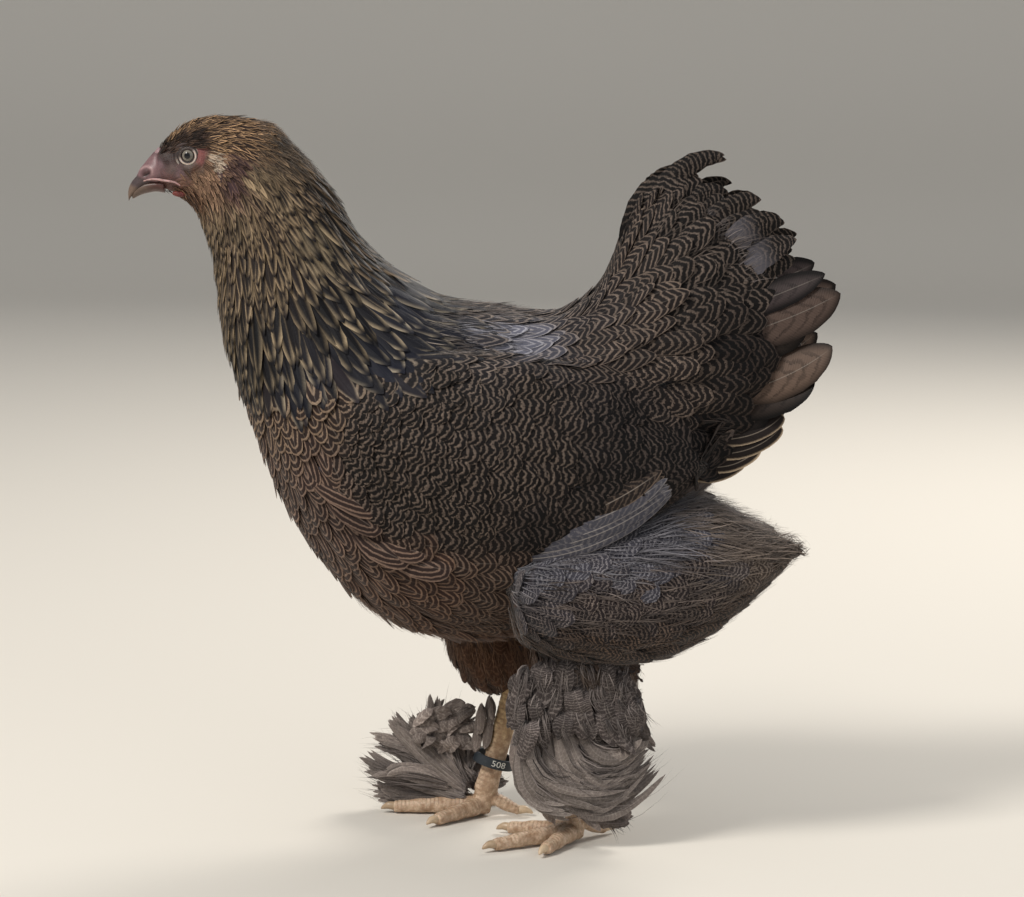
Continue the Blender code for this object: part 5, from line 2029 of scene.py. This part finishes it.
@dataclass
class FreeFeathers:
    """Feathers that stand clear of the body: tail quills, flight feathers and foot plumes."""

    plumage: Plumage
    shell: Obj

    @staticmethod
    def from_lines(lines: list, look: Look) -> Roots:
        """Roots from lines of root, middle and tip.

        Args:
            lines: For each feather its root, middle and tip in bird millimetres, its width, the
                way its face looks, and its tip's curl.
            look: Its colours.

        Returns:
            The roots.
        """
        root, mid, tip = (np.array([line[k] for line in lines], float) for k in range(3))
        face = np.array([line[4] for line in lines], float)
        # A vane starts along its run, and bows away from it by the square of the way along it.
        run = 4 * (mid - root) - (tip - root)
        bow = (tip - root) - run
        length = np.linalg.norm(run, axis=1)
        side = unit(np.cross(face, tip - root))
        up = unit(np.cross(tip - root, side))
        count = len(lines)
        row = np.tile(np.array(look.row()), (count, 1))
        zeros = np.zeros((7, count))
        made = Roots(
            root, up, unit(run), length, np.array([line[3] for line in lines], float), row[:, :3],
            row[:, 3:6], *row[:, 6:].T.copy(), *zeros, bow,
        )
        made.curl = np.array([line[5] for line in lines], float)
        return made

    def add(self, name: str, roots: Roots, style: CoatStyle, node: str, seed: int) -> None:
        """Lays free feathers and hides the solid that they stand for."""
        piece = self.plumage.coat(name, roots, style, self.shell, seed)
        if node:
            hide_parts(node)

    def tail(self) -> None:
        """The stiff quills of the spread tail, and the curled and barred feathers over them."""
        # Of root, middle and tip x, distance from the middle plane and z; then the width.
        quills = guide_lines("""
            126 33 354 184 37 374 232 38 388 25  134 35 345 192 41 360 241 42 378 29
            136 37 330 188 40 346 222 41 360 24  136 38 308 193 44 321 239 45 343 28
            130 40 300 184 45 306 227 46 319 24  130 40 298 166 44 293 196 45 300 20
        """)
        edged = guide_lines("""
            130 44 286 172 47 284 201 47 300 13  130 44 277 170 46 274 199 46 292 12
            128 43 269 162 45 264 188 45 278 11  124 42 264 152 44 257 177 45 270 10
        """)
        sickles = guide_lines("""
            86 8 398 122 10 457 161 11 475 17  90 6 394 118 8 448 150 9 469 16
            116 13 398 136 16 444 163 17 455 17  128 18 396 157 22 436 186 23 447 19
            138 22 384 172 28 424 202 29 434 21  142 26 376 182 33 407 211 34 420 23
            100 10 400 134 16 434 160 18 452 20  120 18 396 152 24 424 184 26 436 22
            140 26 372 180 33 396 210 35 408 24
        """)
        coverts = guide_lines("""
            110 50 388 150 53 404 186 44 404 25  118 56 376 160 58 390 198 50 389 26
            124 58 362 170 59 374 218 50 377 27  126 60 350 166 60 360 206 52 363 26
            128 62 338 166 61 344 198 54 346 25  126 62 324 168 60 334 208 53 342 26
            124 62 314 160 60 318 196 54 326 25  118 60 300 146 58 304 174 54 308 24
            110 60 290 136 58 286 158 54 284 22  100 46 404 134 46 424 166 38 428 23
            92 30 412 118 32 446 146 28 458 22  90 20 408 110 21 446 134 17 466 20
        """)
        barred = VaneFinish("tail_sickles", pencil=0.9, lace=0.6, barb=0.8, barb_pitch=1.0, wobble=1.8,
                            chevron=0.3, scallop=1.2, down=linear(88, 85, 90))
        plain = VaneFinish("tail_quills", pencil=0.65, lace=1.7, crisp=-0.3, shaft=0.35, barb=0.5,
                           barb_pitch=2.2, roughness=0.5, wobble=3.0, chevron=0.9, uneven=0.15)
        pale = VaneFinish("tail_edges", pencil=0.0, lace=1.0, crisp=0.1, shaft=0.3, barb=0.8,
                          barb_pitch=1.1, wobble=0.5)
        coverts_finish = STYLES[Tract.TAIL].finish
        groups = (
            ("tail_quills", quills, (-0.1, 1, 0.1), Cut.STIFF, plain, 0.07, 0.35, 0.02),
            ("tail_edged", edged, (-0.1, 1, 0.1), Cut.BLADE, pale, 0.12, 0.3, -0.03),
            ("tail_sickles", sickles, (-0.35, 1, 0.3), Cut.SICKLE, barred, 0.16, 0.25, -0.06),
            ("tail_barred", coverts, (0.0, 1, 0.1), Cut.SICKLE, coverts_finish, 0.12, 0.2, -0.04),
        )
        for end, side in SIDES:
            rng = np.random.default_rng(11 if side < 0 else 12)
            for group, guides, face, cut, finish, camber, thick, curl in groups:
                lines = []
                for root, mid, tip, width in guides:
                    shift = rng.normal(0, 1.2, 3) * (side > 0)
                    spots = [p * (1, side, 1) + shift * k for k, p in enumerate((root, mid, tip))]
                    lines.append((*spots, width, np.array(face) * (1, side, 1), curl * rng.uniform(0.4, 1.2)))
                if group == "tail_sickles":
                    self.tail_down(end, lines)
                roots = self.from_lines(lines, Look.TAIL)
                roots.twist = rng.normal(0, 0.12, len(lines))
                roots.downy[:] = -1.0
                if group == "tail_quills":
                    tones = table("60 51 50  78 64 57  46 38 34  86 70 60  42 34 30  36 30 28", 3)
                    roots.ground = np.array([linear(*tone) for tone in tones])
                    roots.mark = roots.ground * 0.12
                    roots.lace[:], roots.pitch[:] = 6.0, 11.0
                    roots.sweep[:] = -0.05 * side
                elif group == "tail_edged":
                    roots.ground[:], roots.mark[:] = linear(34, 28, 26), linear(186, 164, 138)
                    roots.lace[:] = 1.5
                elif group == "tail_barred":
                    roots.place[:, 1] -= side * 16
                else:
                    roots.downy[[4, 5, 3]] = (0.6, 0.62, 0.4)
                    roots.mark *= 0.9
                style = CoatStyle(cut, finish, 0.0, 0.0, "quill_feathers", camber, thick, 0.6, 0.0, vary=0.02)
                node = f"tail_fan_{end}" if group == "tail_quills" else ""
                self.add(f"{group}_{end}", roots, style, node, 60 + int(side))

    def tail_down(self, end: str, lines: list) -> None:
        """Pale hair-fine down over the roots of the curled feathers."""
        guides = []
        for root, mid, tip, _, face, _ in (lines[3], lines[4], lines[5], lines[8]):
            out = np.array(face) * 2.0
            half, close = root + (mid - root) * 0.75, mid + (tip - mid) * 0.35
            guides.append((root + out, half + out, close + out, face, -0.05))
        self.plumes(f"tail_down_{end}", guides, 6, 8, 0.7, 2.4, 91, "", Cut.WISP, look=Look.HOCK)

    def flight(self) -> None:
        """Primaries and secondaries of the folded wings."""
        for end, side in SIDES:
            lines = []
            for k in range(8):
                share = k / 7
                root = (11 + 22 * share, side * (81 + 4 * share), 206 + 23 * share)
                mid = (68 + 6 * share, side * (93.5 + 4 * share), 216 + 27 * share)
                tip = (124 - 7 * share, side * (87 + 3 * share), 250 + 18 * share)
                lines.append((root, mid, tip, 10 + 4 * share, (0, side, -0.15), 0.0))
            roots = self.from_lines(lines, Look.TAIL)
            dark = np.linspace(0, 1, 8)[:, None] > 0.8
            roots.ground = np.where(dark, linear(34, 28, 26), linear(64, 63, 70))
            roots.mark = np.where(dark, linear(124, 106, 92), linear(126, 120, 118))
            roots.downy[:] = -1.0
            roots.pitch[:] = 3.6
            roots.lace[:] = 0.7
            finish = VaneFinish("flight_quills", pencil=0.45, lace=0.7, shaft=0.5, barb=0.4, barb_pitch=1.2,
                                roughness=0.5, sheen=0.0, wobble=1.5)
            style = CoatStyle(Cut.STIFF, finish, 0.0, 0.0, "quill_feathers", 0.05, 0.25, 0.5, 0.0, vary=0.02)
            self.add(f"flight_quills_{end}", roots, style, f"primaries_{end}", 70 + int(side))

    def plumes(
        self, name: str, guides: list, locks: int, each: int, width: float, spread: float, seed: int,
        node: str = "", cut: Cut = Cut.PLUME, pencil: float = 0.3, look: Look = Look.TUFT,
    ) -> None:
        """Locks of long soft feathers along guide lines.

        Args:
            name: Name of the piece.
            guides: Lines of root, middle and tip, with the way their face looks and their curl.
            locks: How many locks follow each line.
            each: How many feathers a lock has.
            width: Their usual width.
            spread: How far locks stray from their line.
            seed: Start of the random draws.
            node: The solid that they stand for, or nothing.
            cut: Outline of the feathers.
            pencil: How strong their lines are.
            look: Their colours.
        """
        rng = np.random.default_rng(seed)
        lines, tones = [], []
        for guide in guides:
            for _ in range(locks):
                stray = rng.normal(0, spread, (3, 3)) * ((0.8,), (0.8,), (1.0,))
                tone, reach = rng.uniform(0.7, 1.3), rng.uniform(0.84, 1.03)
                for _ in range(each):
                    short = reach * rng.uniform(0.9, 1.02)
                    root, mid, tip = np.array(guide[:3], float) + stray + rng.normal(0, spread * 0.3, (3, 3))
                    mid, tip = root + (mid - root) * short, root + (tip - root) * short
                    root[2], mid[2], tip[2] = max(root[2], 6.0), max(mid[2], 4.0), max(tip[2], 3.5)
                    face = np.array(guide[3]) + rng.normal(0, 0.2, 3)
                    curl = guide[4] + rng.uniform(-0.08, 0.05)
                    lines.append((root, mid, tip, width * rng.uniform(0.6, 1.3), face, curl))
                    tones.append(tone * rng.uniform(0.85, 1.15))
        roots = self.from_lines(lines, look)
        tone = np.array(tones)[:, None]
        roots.ground, roots.mark = roots.ground * tone, roots.mark * tone
        if cut is Cut.WISP:
            share = rng.uniform(0.0, 0.9, (len(lines), 1))
            roots.ground = roots.ground * (1 - share) + roots.mark * share
            roots.downy[:] = -1.0
            style = CoatStyle(cut, WISPS.finish, 2.5, 0.4, "plumage_down", 0.0, 0.15, 4.5, vary=0.06)
        else:
            finish = VaneFinish(f"{name}_vanes", pencil=pencil, lace=0.35, shaft=0.18, barb=1.0, barb_pitch=1.0,
                                roughness=0.8, sheen=0.1, uneven=0.15, wobble=1.4, chevron=0.2)
            style = CoatStyle(cut, finish, 0.0, 0.0, "plumage_down", 0.16, 0.16, 1.5, 0.0, vary=0.03)
        self.add(name, roots, style, node, seed)

    def feet(self) -> None:
        """Plumes of both feet and of the left hock."""
        # Root, middle and tip in bird millimetres, and the curl.
        right = guide_lines("""
            -20 40 16 -48 52 34 -75 58 67 -0.1  -22 40 14 -60 52 20 -97 58 36 -0.1
            -22 40 11 -58 52 10 -90 58 12 0  -18 42 20 -38 54 46 -44 60 76 -0.1
            -14 44 24 -27 58 50 -24 62 75 -0.1  -20 42 16 -52 54 40 -86 58 52 -0.1
            -18 42 18 -44 50 44 -62 54 68 -0.1  -12 48 22 -26 66 20 -36 84 14 0
            -8 48 22 -2 68 16 6 84 12 0  -10 46 32 -8 60 38 0 72 34 0
            -20 42 14 -50 46 26 -80 48 28 0  -18 46 18 -46 62 28 -70 72 34 -0.1
            -16 46 16 -44 66 14 -66 76 10 0  -12 46 26 -26 66 44 -34 72 60 -0.1
        """)
        curls = [
            ((x, 46, z), (x - 8, 42, z - 2), (x - 16, 46, z - 10), -0.15)
            for x in (-40, -30, -20, -10) for z in (74, 64, 54)
        ]
        front = guide_lines("""
            -6 38 80 -8 34 68 -8 33 58 0  -2 37 70 -3 33 58 -4 32 47 0
            -7 39 64 -10 35 54 -10 34 45 0  1 38 86 0 34 76 -1 33 66 0
        """)
        # Those that sweep to the rear, then the curly clumps, then those that fall to the foot.
        swept = guide_lines("""
            28 -56 104 40 -71 46 90 -71 44 -0.05  33 -56 90 62 -70 30 110 -66 57 -0.05
            46 -58 102 60 -72 48 95 -69 46 -0.05  26 -54 84 34 -68 42 78 -70 30 -0.05
            50 -56 88 70 -70 50 106 -66 64 -0.05  24 -52 78 28 -66 42 54 -70 28 0
            40 -58 84 56 -70 36 100 -68 36 -0.05  60 -56 92 78 -68 62 108 -64 72 -0.05
        """)
        clumps = [
            ((x, -60, z), (x - 2, -73, z - 9), (x - 4 + (x > 60) * 8, -70, z - 24), -0.12)
            for x, z in table("""
                24 124  38 130  52 134  66 134  80 132  92 126  22 108  34 112  48 116  62 116
                76 116  90 112  26 94  38 98  52 100  66 102  80 100  92 96  100 108
            """, 2)
        ]
        fallen = guide_lines("""
            30 -50 96 26 -56 66 26 -60 40 0  46 -50 96 44 -58 64 44 -62 36 0
            62 -50 96 64 -58 64 64 -62 34 0  78 -48 100 84 -56 76 92 -60 52 0
            88 -44 116 98 -52 92 108 -56 74 0  44 -42 52 40 -58 34 44 -64 18 0
            56 -46 56 60 -62 34 74 -68 20 0  66 -36 24 84 -54 18 98 -62 14 0
        """)
        inner = [(*(np.array(p) + (0, 24, 0) for p in line[:3]), 0.0) for line in fallen[:5] + swept]
        # Name, lines, the way they face, locks, feathers in each, width, spread, seed, and the rest.
        wisp = {"cut": Cut.WISP, "look": Look.HOCK}
        ahead, outward, level = (-0.3, -0.9, 0.3), (-0.1, -1.0, 0.3), (-0.1, -1.0, 0.15)
        for name, lines, face, locks, each, width, spread, seed, more in (
            ("foot_plumes_right", right, ahead, 5, 7, 7.5, 3.2, 81,
             {"node": "foot_feathers_right", "pencil": 0.2, "look": Look.PLUME}),
            ("foot_hairs_right", right, ahead, 8, 10, 0.7, 3.5, 85, wisp),
            ("foot_curls_right", curls, outward, 2, 3, 9.0, 3.0, 87, {"cut": Cut.SOFT, "pencil": 0.6}),
            ("shank_down_right", front, (-0.3, -1.0, 0.1), 3, 3, 5.0, 1.5, 83,
             {"cut": Cut.SOFT, "pencil": 0.1}),
            ("foot_plumes_left", swept, level, 5, 8, 7.5, 2.6, 82,
             {"node": "foot_feathers_left", "look": Look.PLUME}),
            ("hock_curls_left", clumps, outward, 4, 4, 12.0, 3.5, 88,
             {"cut": Cut.SOFT, "pencil": 0.8, "look": Look.HOCK}),
            ("hock_plumes_left", fallen, level, 4, 5, 10.0, 3.5, 84, {}),
            ("inner_plumes_left", inner, (-0.1, 1.0, 0.15), 3, 4, 10.0, 3.0, 89, {}),
            ("foot_hairs_left", swept + fallen + clumps, level, 4, 11, 0.7, 3.2, 86, wisp),
        ):
            guides = [(*line[:3], face, line[3]) for line in lines]
            self.plumes(name, guides, locks, each, width, spread, seed, **more)

    def flank(self) -> None:
        """Loose laced feathers before the wing."""
        lines = []
        for _, side in SIDES:
            for *spots, width in guide_lines("""
                -128 62 266 -106 82 252 -80 92 236 19  -118 66 256 -96 84 240 -74 92 226 19
                -96 72 228 -76 87 214 -54 93 204 21  -82 76 228 -62 89 216 -42 94 210 20
                -72 76 214 -50 89 204 -26 94 200 20
            """):
                lines.append((*(p * (1, side, 1) for p in spots), width, (-0.1, side, 0.2), -0.06))
        roots = self.from_lines(lines, Look.BREAST)
        roots.lace[:], roots.downy[:] = 1.5, -1.0
        finish = STYLES[Tract.BREAST].finish
        style = CoatStyle(Cut.ROUND, finish, camber=0.12, thickness=0.15, turn=3, ruffle=0.0, vary=0.04)
        self.add("flank_feathers", roots, style, "", 77)


@dataclass
class Hen:
    """The whole bird."""

    EAR = ((-190.8, 472.9), (3.7, 5.2))  # x and z of the ear tuft's middle, and its reach
    plumage: Plumage = field(default_factory=lambda: Plumage(FeatherTree()))

    def surfaces(self) -> None:
        """Builds the shells that feathers follow."""
        body = ["head", "neck", "trunk", "tail_coverts", "wing_left", "wing_right"]
        self.body = Surface("body_shell", body, BODY_ANCHORS, voxel=3.6, rounds=6)
        self.body.build()
        self.cushions, self.drums = {}, {}
        for end, side in SIDES:
            shift = (0.0, 0.0, 0.0) if side < 0 else (-14.0, 0.0, -3.0)
            fluff = [f"thigh_fluff_{end}"]
            self.cushions[end] = Surface(f"cushion_shell_{end}", fluff, CUSHION_ANCHORS, 4.0, 0.4, 4, shift)
            self.cushions[end].build()
            shift = (ANKLE_X[end], 0.0, 0.0)
            drum = [f"drumstick_{end}"]
            self.drums[end] = Surface(f"drum_shell_{end}", drum, DRUM_ANCHORS, 3.6, 0.4, 3, shift)
            self.drums[end].build()

    @staticmethod
    def open_skin(places: Array) -> Array:
        """Whether no feather grows at a place, or hardly any."""
        x, y, z = places.T
        luck = np.random.default_rng(3).random(len(x))
        eye = np.hypot(x - Head.EYE[0], z - Head.EYE[2])
        front = (x < -207) & (z < 477.5 + (x + 223) * 0.15) & (z > 455)
        sparse = (x < -197) & (z < 482) & (z > 446) & (luck < 0.5)
        patch = np.hypot(x + 199, z - 480) < 4.5
        bill = (x < -229.8) | ((x < -221) & (z < 476.5) & (z > 452))
        lids = (eye < 10.0 - 3.0 * (z > 479)) & (np.abs(y) > 5)
        return lids | (front & (luck < 0.96)) | sparse | patch | bill

    def lay_body(self) -> None:
        """Lays the coats of head, neck, breast, back, wings, tail and vent."""
        places, ups, rows, tracts = self.body.scatter(0.76, 7)
        roots = Roots.from_rows(places, ups, rows)
        y = places[:, 1]
        bare = self.open_skin(places)
        middle, reach = self.EAR
        tuft = (((places[:, [0, 2]] - middle) / reach) ** 2).sum(1) < 1
        roots.ground[tuft], roots.mark[tuft] = Look.EAR.row()[:3], Look.EAR.row()[3:6]
        roots.width[tuft], roots.length[tuft] = 1.5, 5.0
        extra = roots.only(np.repeat(np.flatnonzero(tuft), 5))
        rng = np.random.default_rng(9)
        extra.place = extra.place + rng.normal(0, 0.9, extra.place.shape) * (1, 0.3, 1.2)
        extra.width[:], extra.length[:] = 0.9, 5.2
        self.plumage.coat("ear_tufts", extra, STYLES[Tract.HEAD], self.body.shell, 19)
        for seed, tract in enumerate(list(Tract)[:7], 20):
            member = np.array([t is tract for t in tracts]) & ~bare
            sides = (("_left", y < 0), ("_right", y >= 0))
            if tract in (Tract.BACK, Tract.DOWN):
                sides = (("", np.ones(len(y), bool)),)
            for suffix, chosen in sides:
                keep = member & chosen
                if keep.any():
                    name = f"coat_{tract.value}{suffix}"
                    self.plumage.coat(name, roots.only(keep), STYLES[tract], self.body.shell, seed)

    def lay_hairs(self) -> None:
        """Lays hair-fine barbs where the plumage is loose."""
        def vent(p: Array) -> Array:
            """Places below and behind."""
            rear = (p[:, 0] > 135) & (p[:, 2] < 300)
            return (p[:, 2] < 175) | rear | ((p[:, 0] > 110) & (p[:, 2] > 395))

        def saddle_and_nape(p: Array) -> Array:
            """Places of the saddle's down and of the nape."""
            saddle = (p[:, 0] > -45) & (p[:, 0] < 15) & (p[:, 2] > 345)
            nape = (p[:, 0] > -165) & (p[:, 0] < -130) & (p[:, 2] > 465)
            return saddle | nape

        def rump(p: Array) -> Array:
            """Places at the top of a thigh's rear."""
            return (p[:, 0] > 92) & (p[:, 2] > 200)

        self.plumage.wisps("hairs_vent", self.body, 0.34, 51, (14, 30), 4.0, vent)
        self.plumage.wisps("hairs_saddle", self.body, 0.3, 52, (10, 20), 3.0, saddle_and_nape)
        for number, (end, _) in enumerate(SIDES):
            cushion, drum, wisps = self.cushions[end], self.drums[end], self.plumage.wisps
            wisps(f"hairs_cushion_{end}", cushion, 0.37, 53 + number, (18, 40), 2.5)
            wisps(f"hairs_rump_{end}", cushion, 0.24, 57 + number, (20, 42), 11.0, rump)
            wisps(f"hairs_drum_{end}", drum, 0.25, 55 + number, (8, 20), 4.0)

    def lay_legs(self) -> None:
        """Lays the coats of thighs and drumsticks."""
        for number, (end, _) in enumerate(SIDES):
            for surface, tract, seed in (
                (self.cushions[end], Tract.CUSHION, 31), (self.drums[end], Tract.DRUM, 33),
            ):
                places, ups, rows, _ = surface.scatter(0.78, seed + number)
                roots = Roots.from_rows(places, ups, rows)
                self.plumage.coat(f"coat_{tract.value}_{end}", roots, STYLES[tract], surface.shell, seed)

    def build(self) -> None:
        """Builds the bird from the skin outwards."""
        Skin().build()
        Head().build()
        for end, side in SIDES:
            Leg(end, side).build()
        LegRing().build()
        self.surfaces()
        self.lay_body()
        self.lay_legs()
        self.lay_hairs()
        free = FreeFeathers(self.plumage, self.body.shell)
        free.tail()
        free.flank()
        free.flight()
        free.feet()
        shells = [self.body.shell]
        shells += [s.shell for group in (self.cushions, self.drums) for s in group.values()]
        discard(*shells)


@dataclass(frozen=True)
class FloorFinish(Finish):
    """Plain dull floor."""

    def paint(self, net: Net) -> None:
        """Adds the nodes."""
        net.principled(linear(214, 208, 198), Roughness=0.85)


@dataclass
class Studio:
    """Floor, lights and camera."""

    distance: float = 2.6
    elevation: float = 8.0
    span: float = 0.7168

    def build(self) -> None:
        """Sets the stage."""
        self.floor()
        self.lights()
        self.camera()
        bpy.context.scene.view_settings.view_transform = "Standard"

    def floor(self) -> None:
        """A plain pale floor that curves up far behind."""
        line = smooth_line([(-6, 0), (2.5, 0), (5, 0.02), (6.4, 0.9), (6.8, 4.5)], 40)
        points, faces = [], []
        for x in (-9.0, 9.0):
            points += [(x, y, z) for y, z in line]
        for i in range(39):
            faces.append((i, 40 + i, 41 + i, i + 1))
        floor = mesh_object("studio_floor", np.array(points), faces)
        floor.data.materials.append(FloorFinish("pale_floor").make())

    def lights(self) -> None:
        """Large soft lights, the key from above the camera's left."""
        world = bpy.data.worlds.new("studio")
        world.use_nodes = True
        colour, strength = world.node_tree.nodes["Background"].inputs[:2]
        colour.default_value, strength.default_value = (0.93, 0.96, 1.0, 1), 0.42
        bpy.context.scene.world = world
        for name, place, size, power, colour in (
            ("key", (-1.7, -1.5, 2.5), 0.9, 84, (1.0, 0.97, 0.92)),
            ("fill", (1.6, -2.4, 1.0), 2.0, 14, (0.92, 0.96, 1.0)),
            ("rim", (1.2, 1.9, 1.9), 1.0, 46, (1.0, 0.96, 0.9)),
        ):
            data = bpy.data.lights.new(name, "AREA")
            data.size, data.energy, data.color = size, power, colour
            lamp = link(bpy.data.objects.new(name, data))
            lamp.location = place
            lamp.rotation_euler = (Vector((0, 0, 0.26)) - lamp.location).to_track_quat("-Z", "Y").to_euler()

    def camera(self) -> None:
        """The photograph's view: the bird's left side from a little above."""
        data = bpy.data.cameras.new("camera")
        data.sensor_width = 36.0
        data.lens = 36.0 * self.distance / self.span
        target = Vector(metres((15.4, 0.0, 270.0)))
        rise = math.radians(self.elevation)
        eye = link(bpy.data.objects.new("camera", data))
        eye.location = target + Vector((0, -math.cos(rise), math.sin(rise))) * self.distance
        eye.rotation_euler = (target - eye.location).to_track_quat("-Z", "Y").to_euler()
        bpy.context.scene.camera = eye


def main() -> None:
    """Builds everything."""
    logging.basicConfig(level=logging.INFO, format="%(message)s")
    Hen().build()
    Studio().build()


if __name__ == "__main__":
    main()
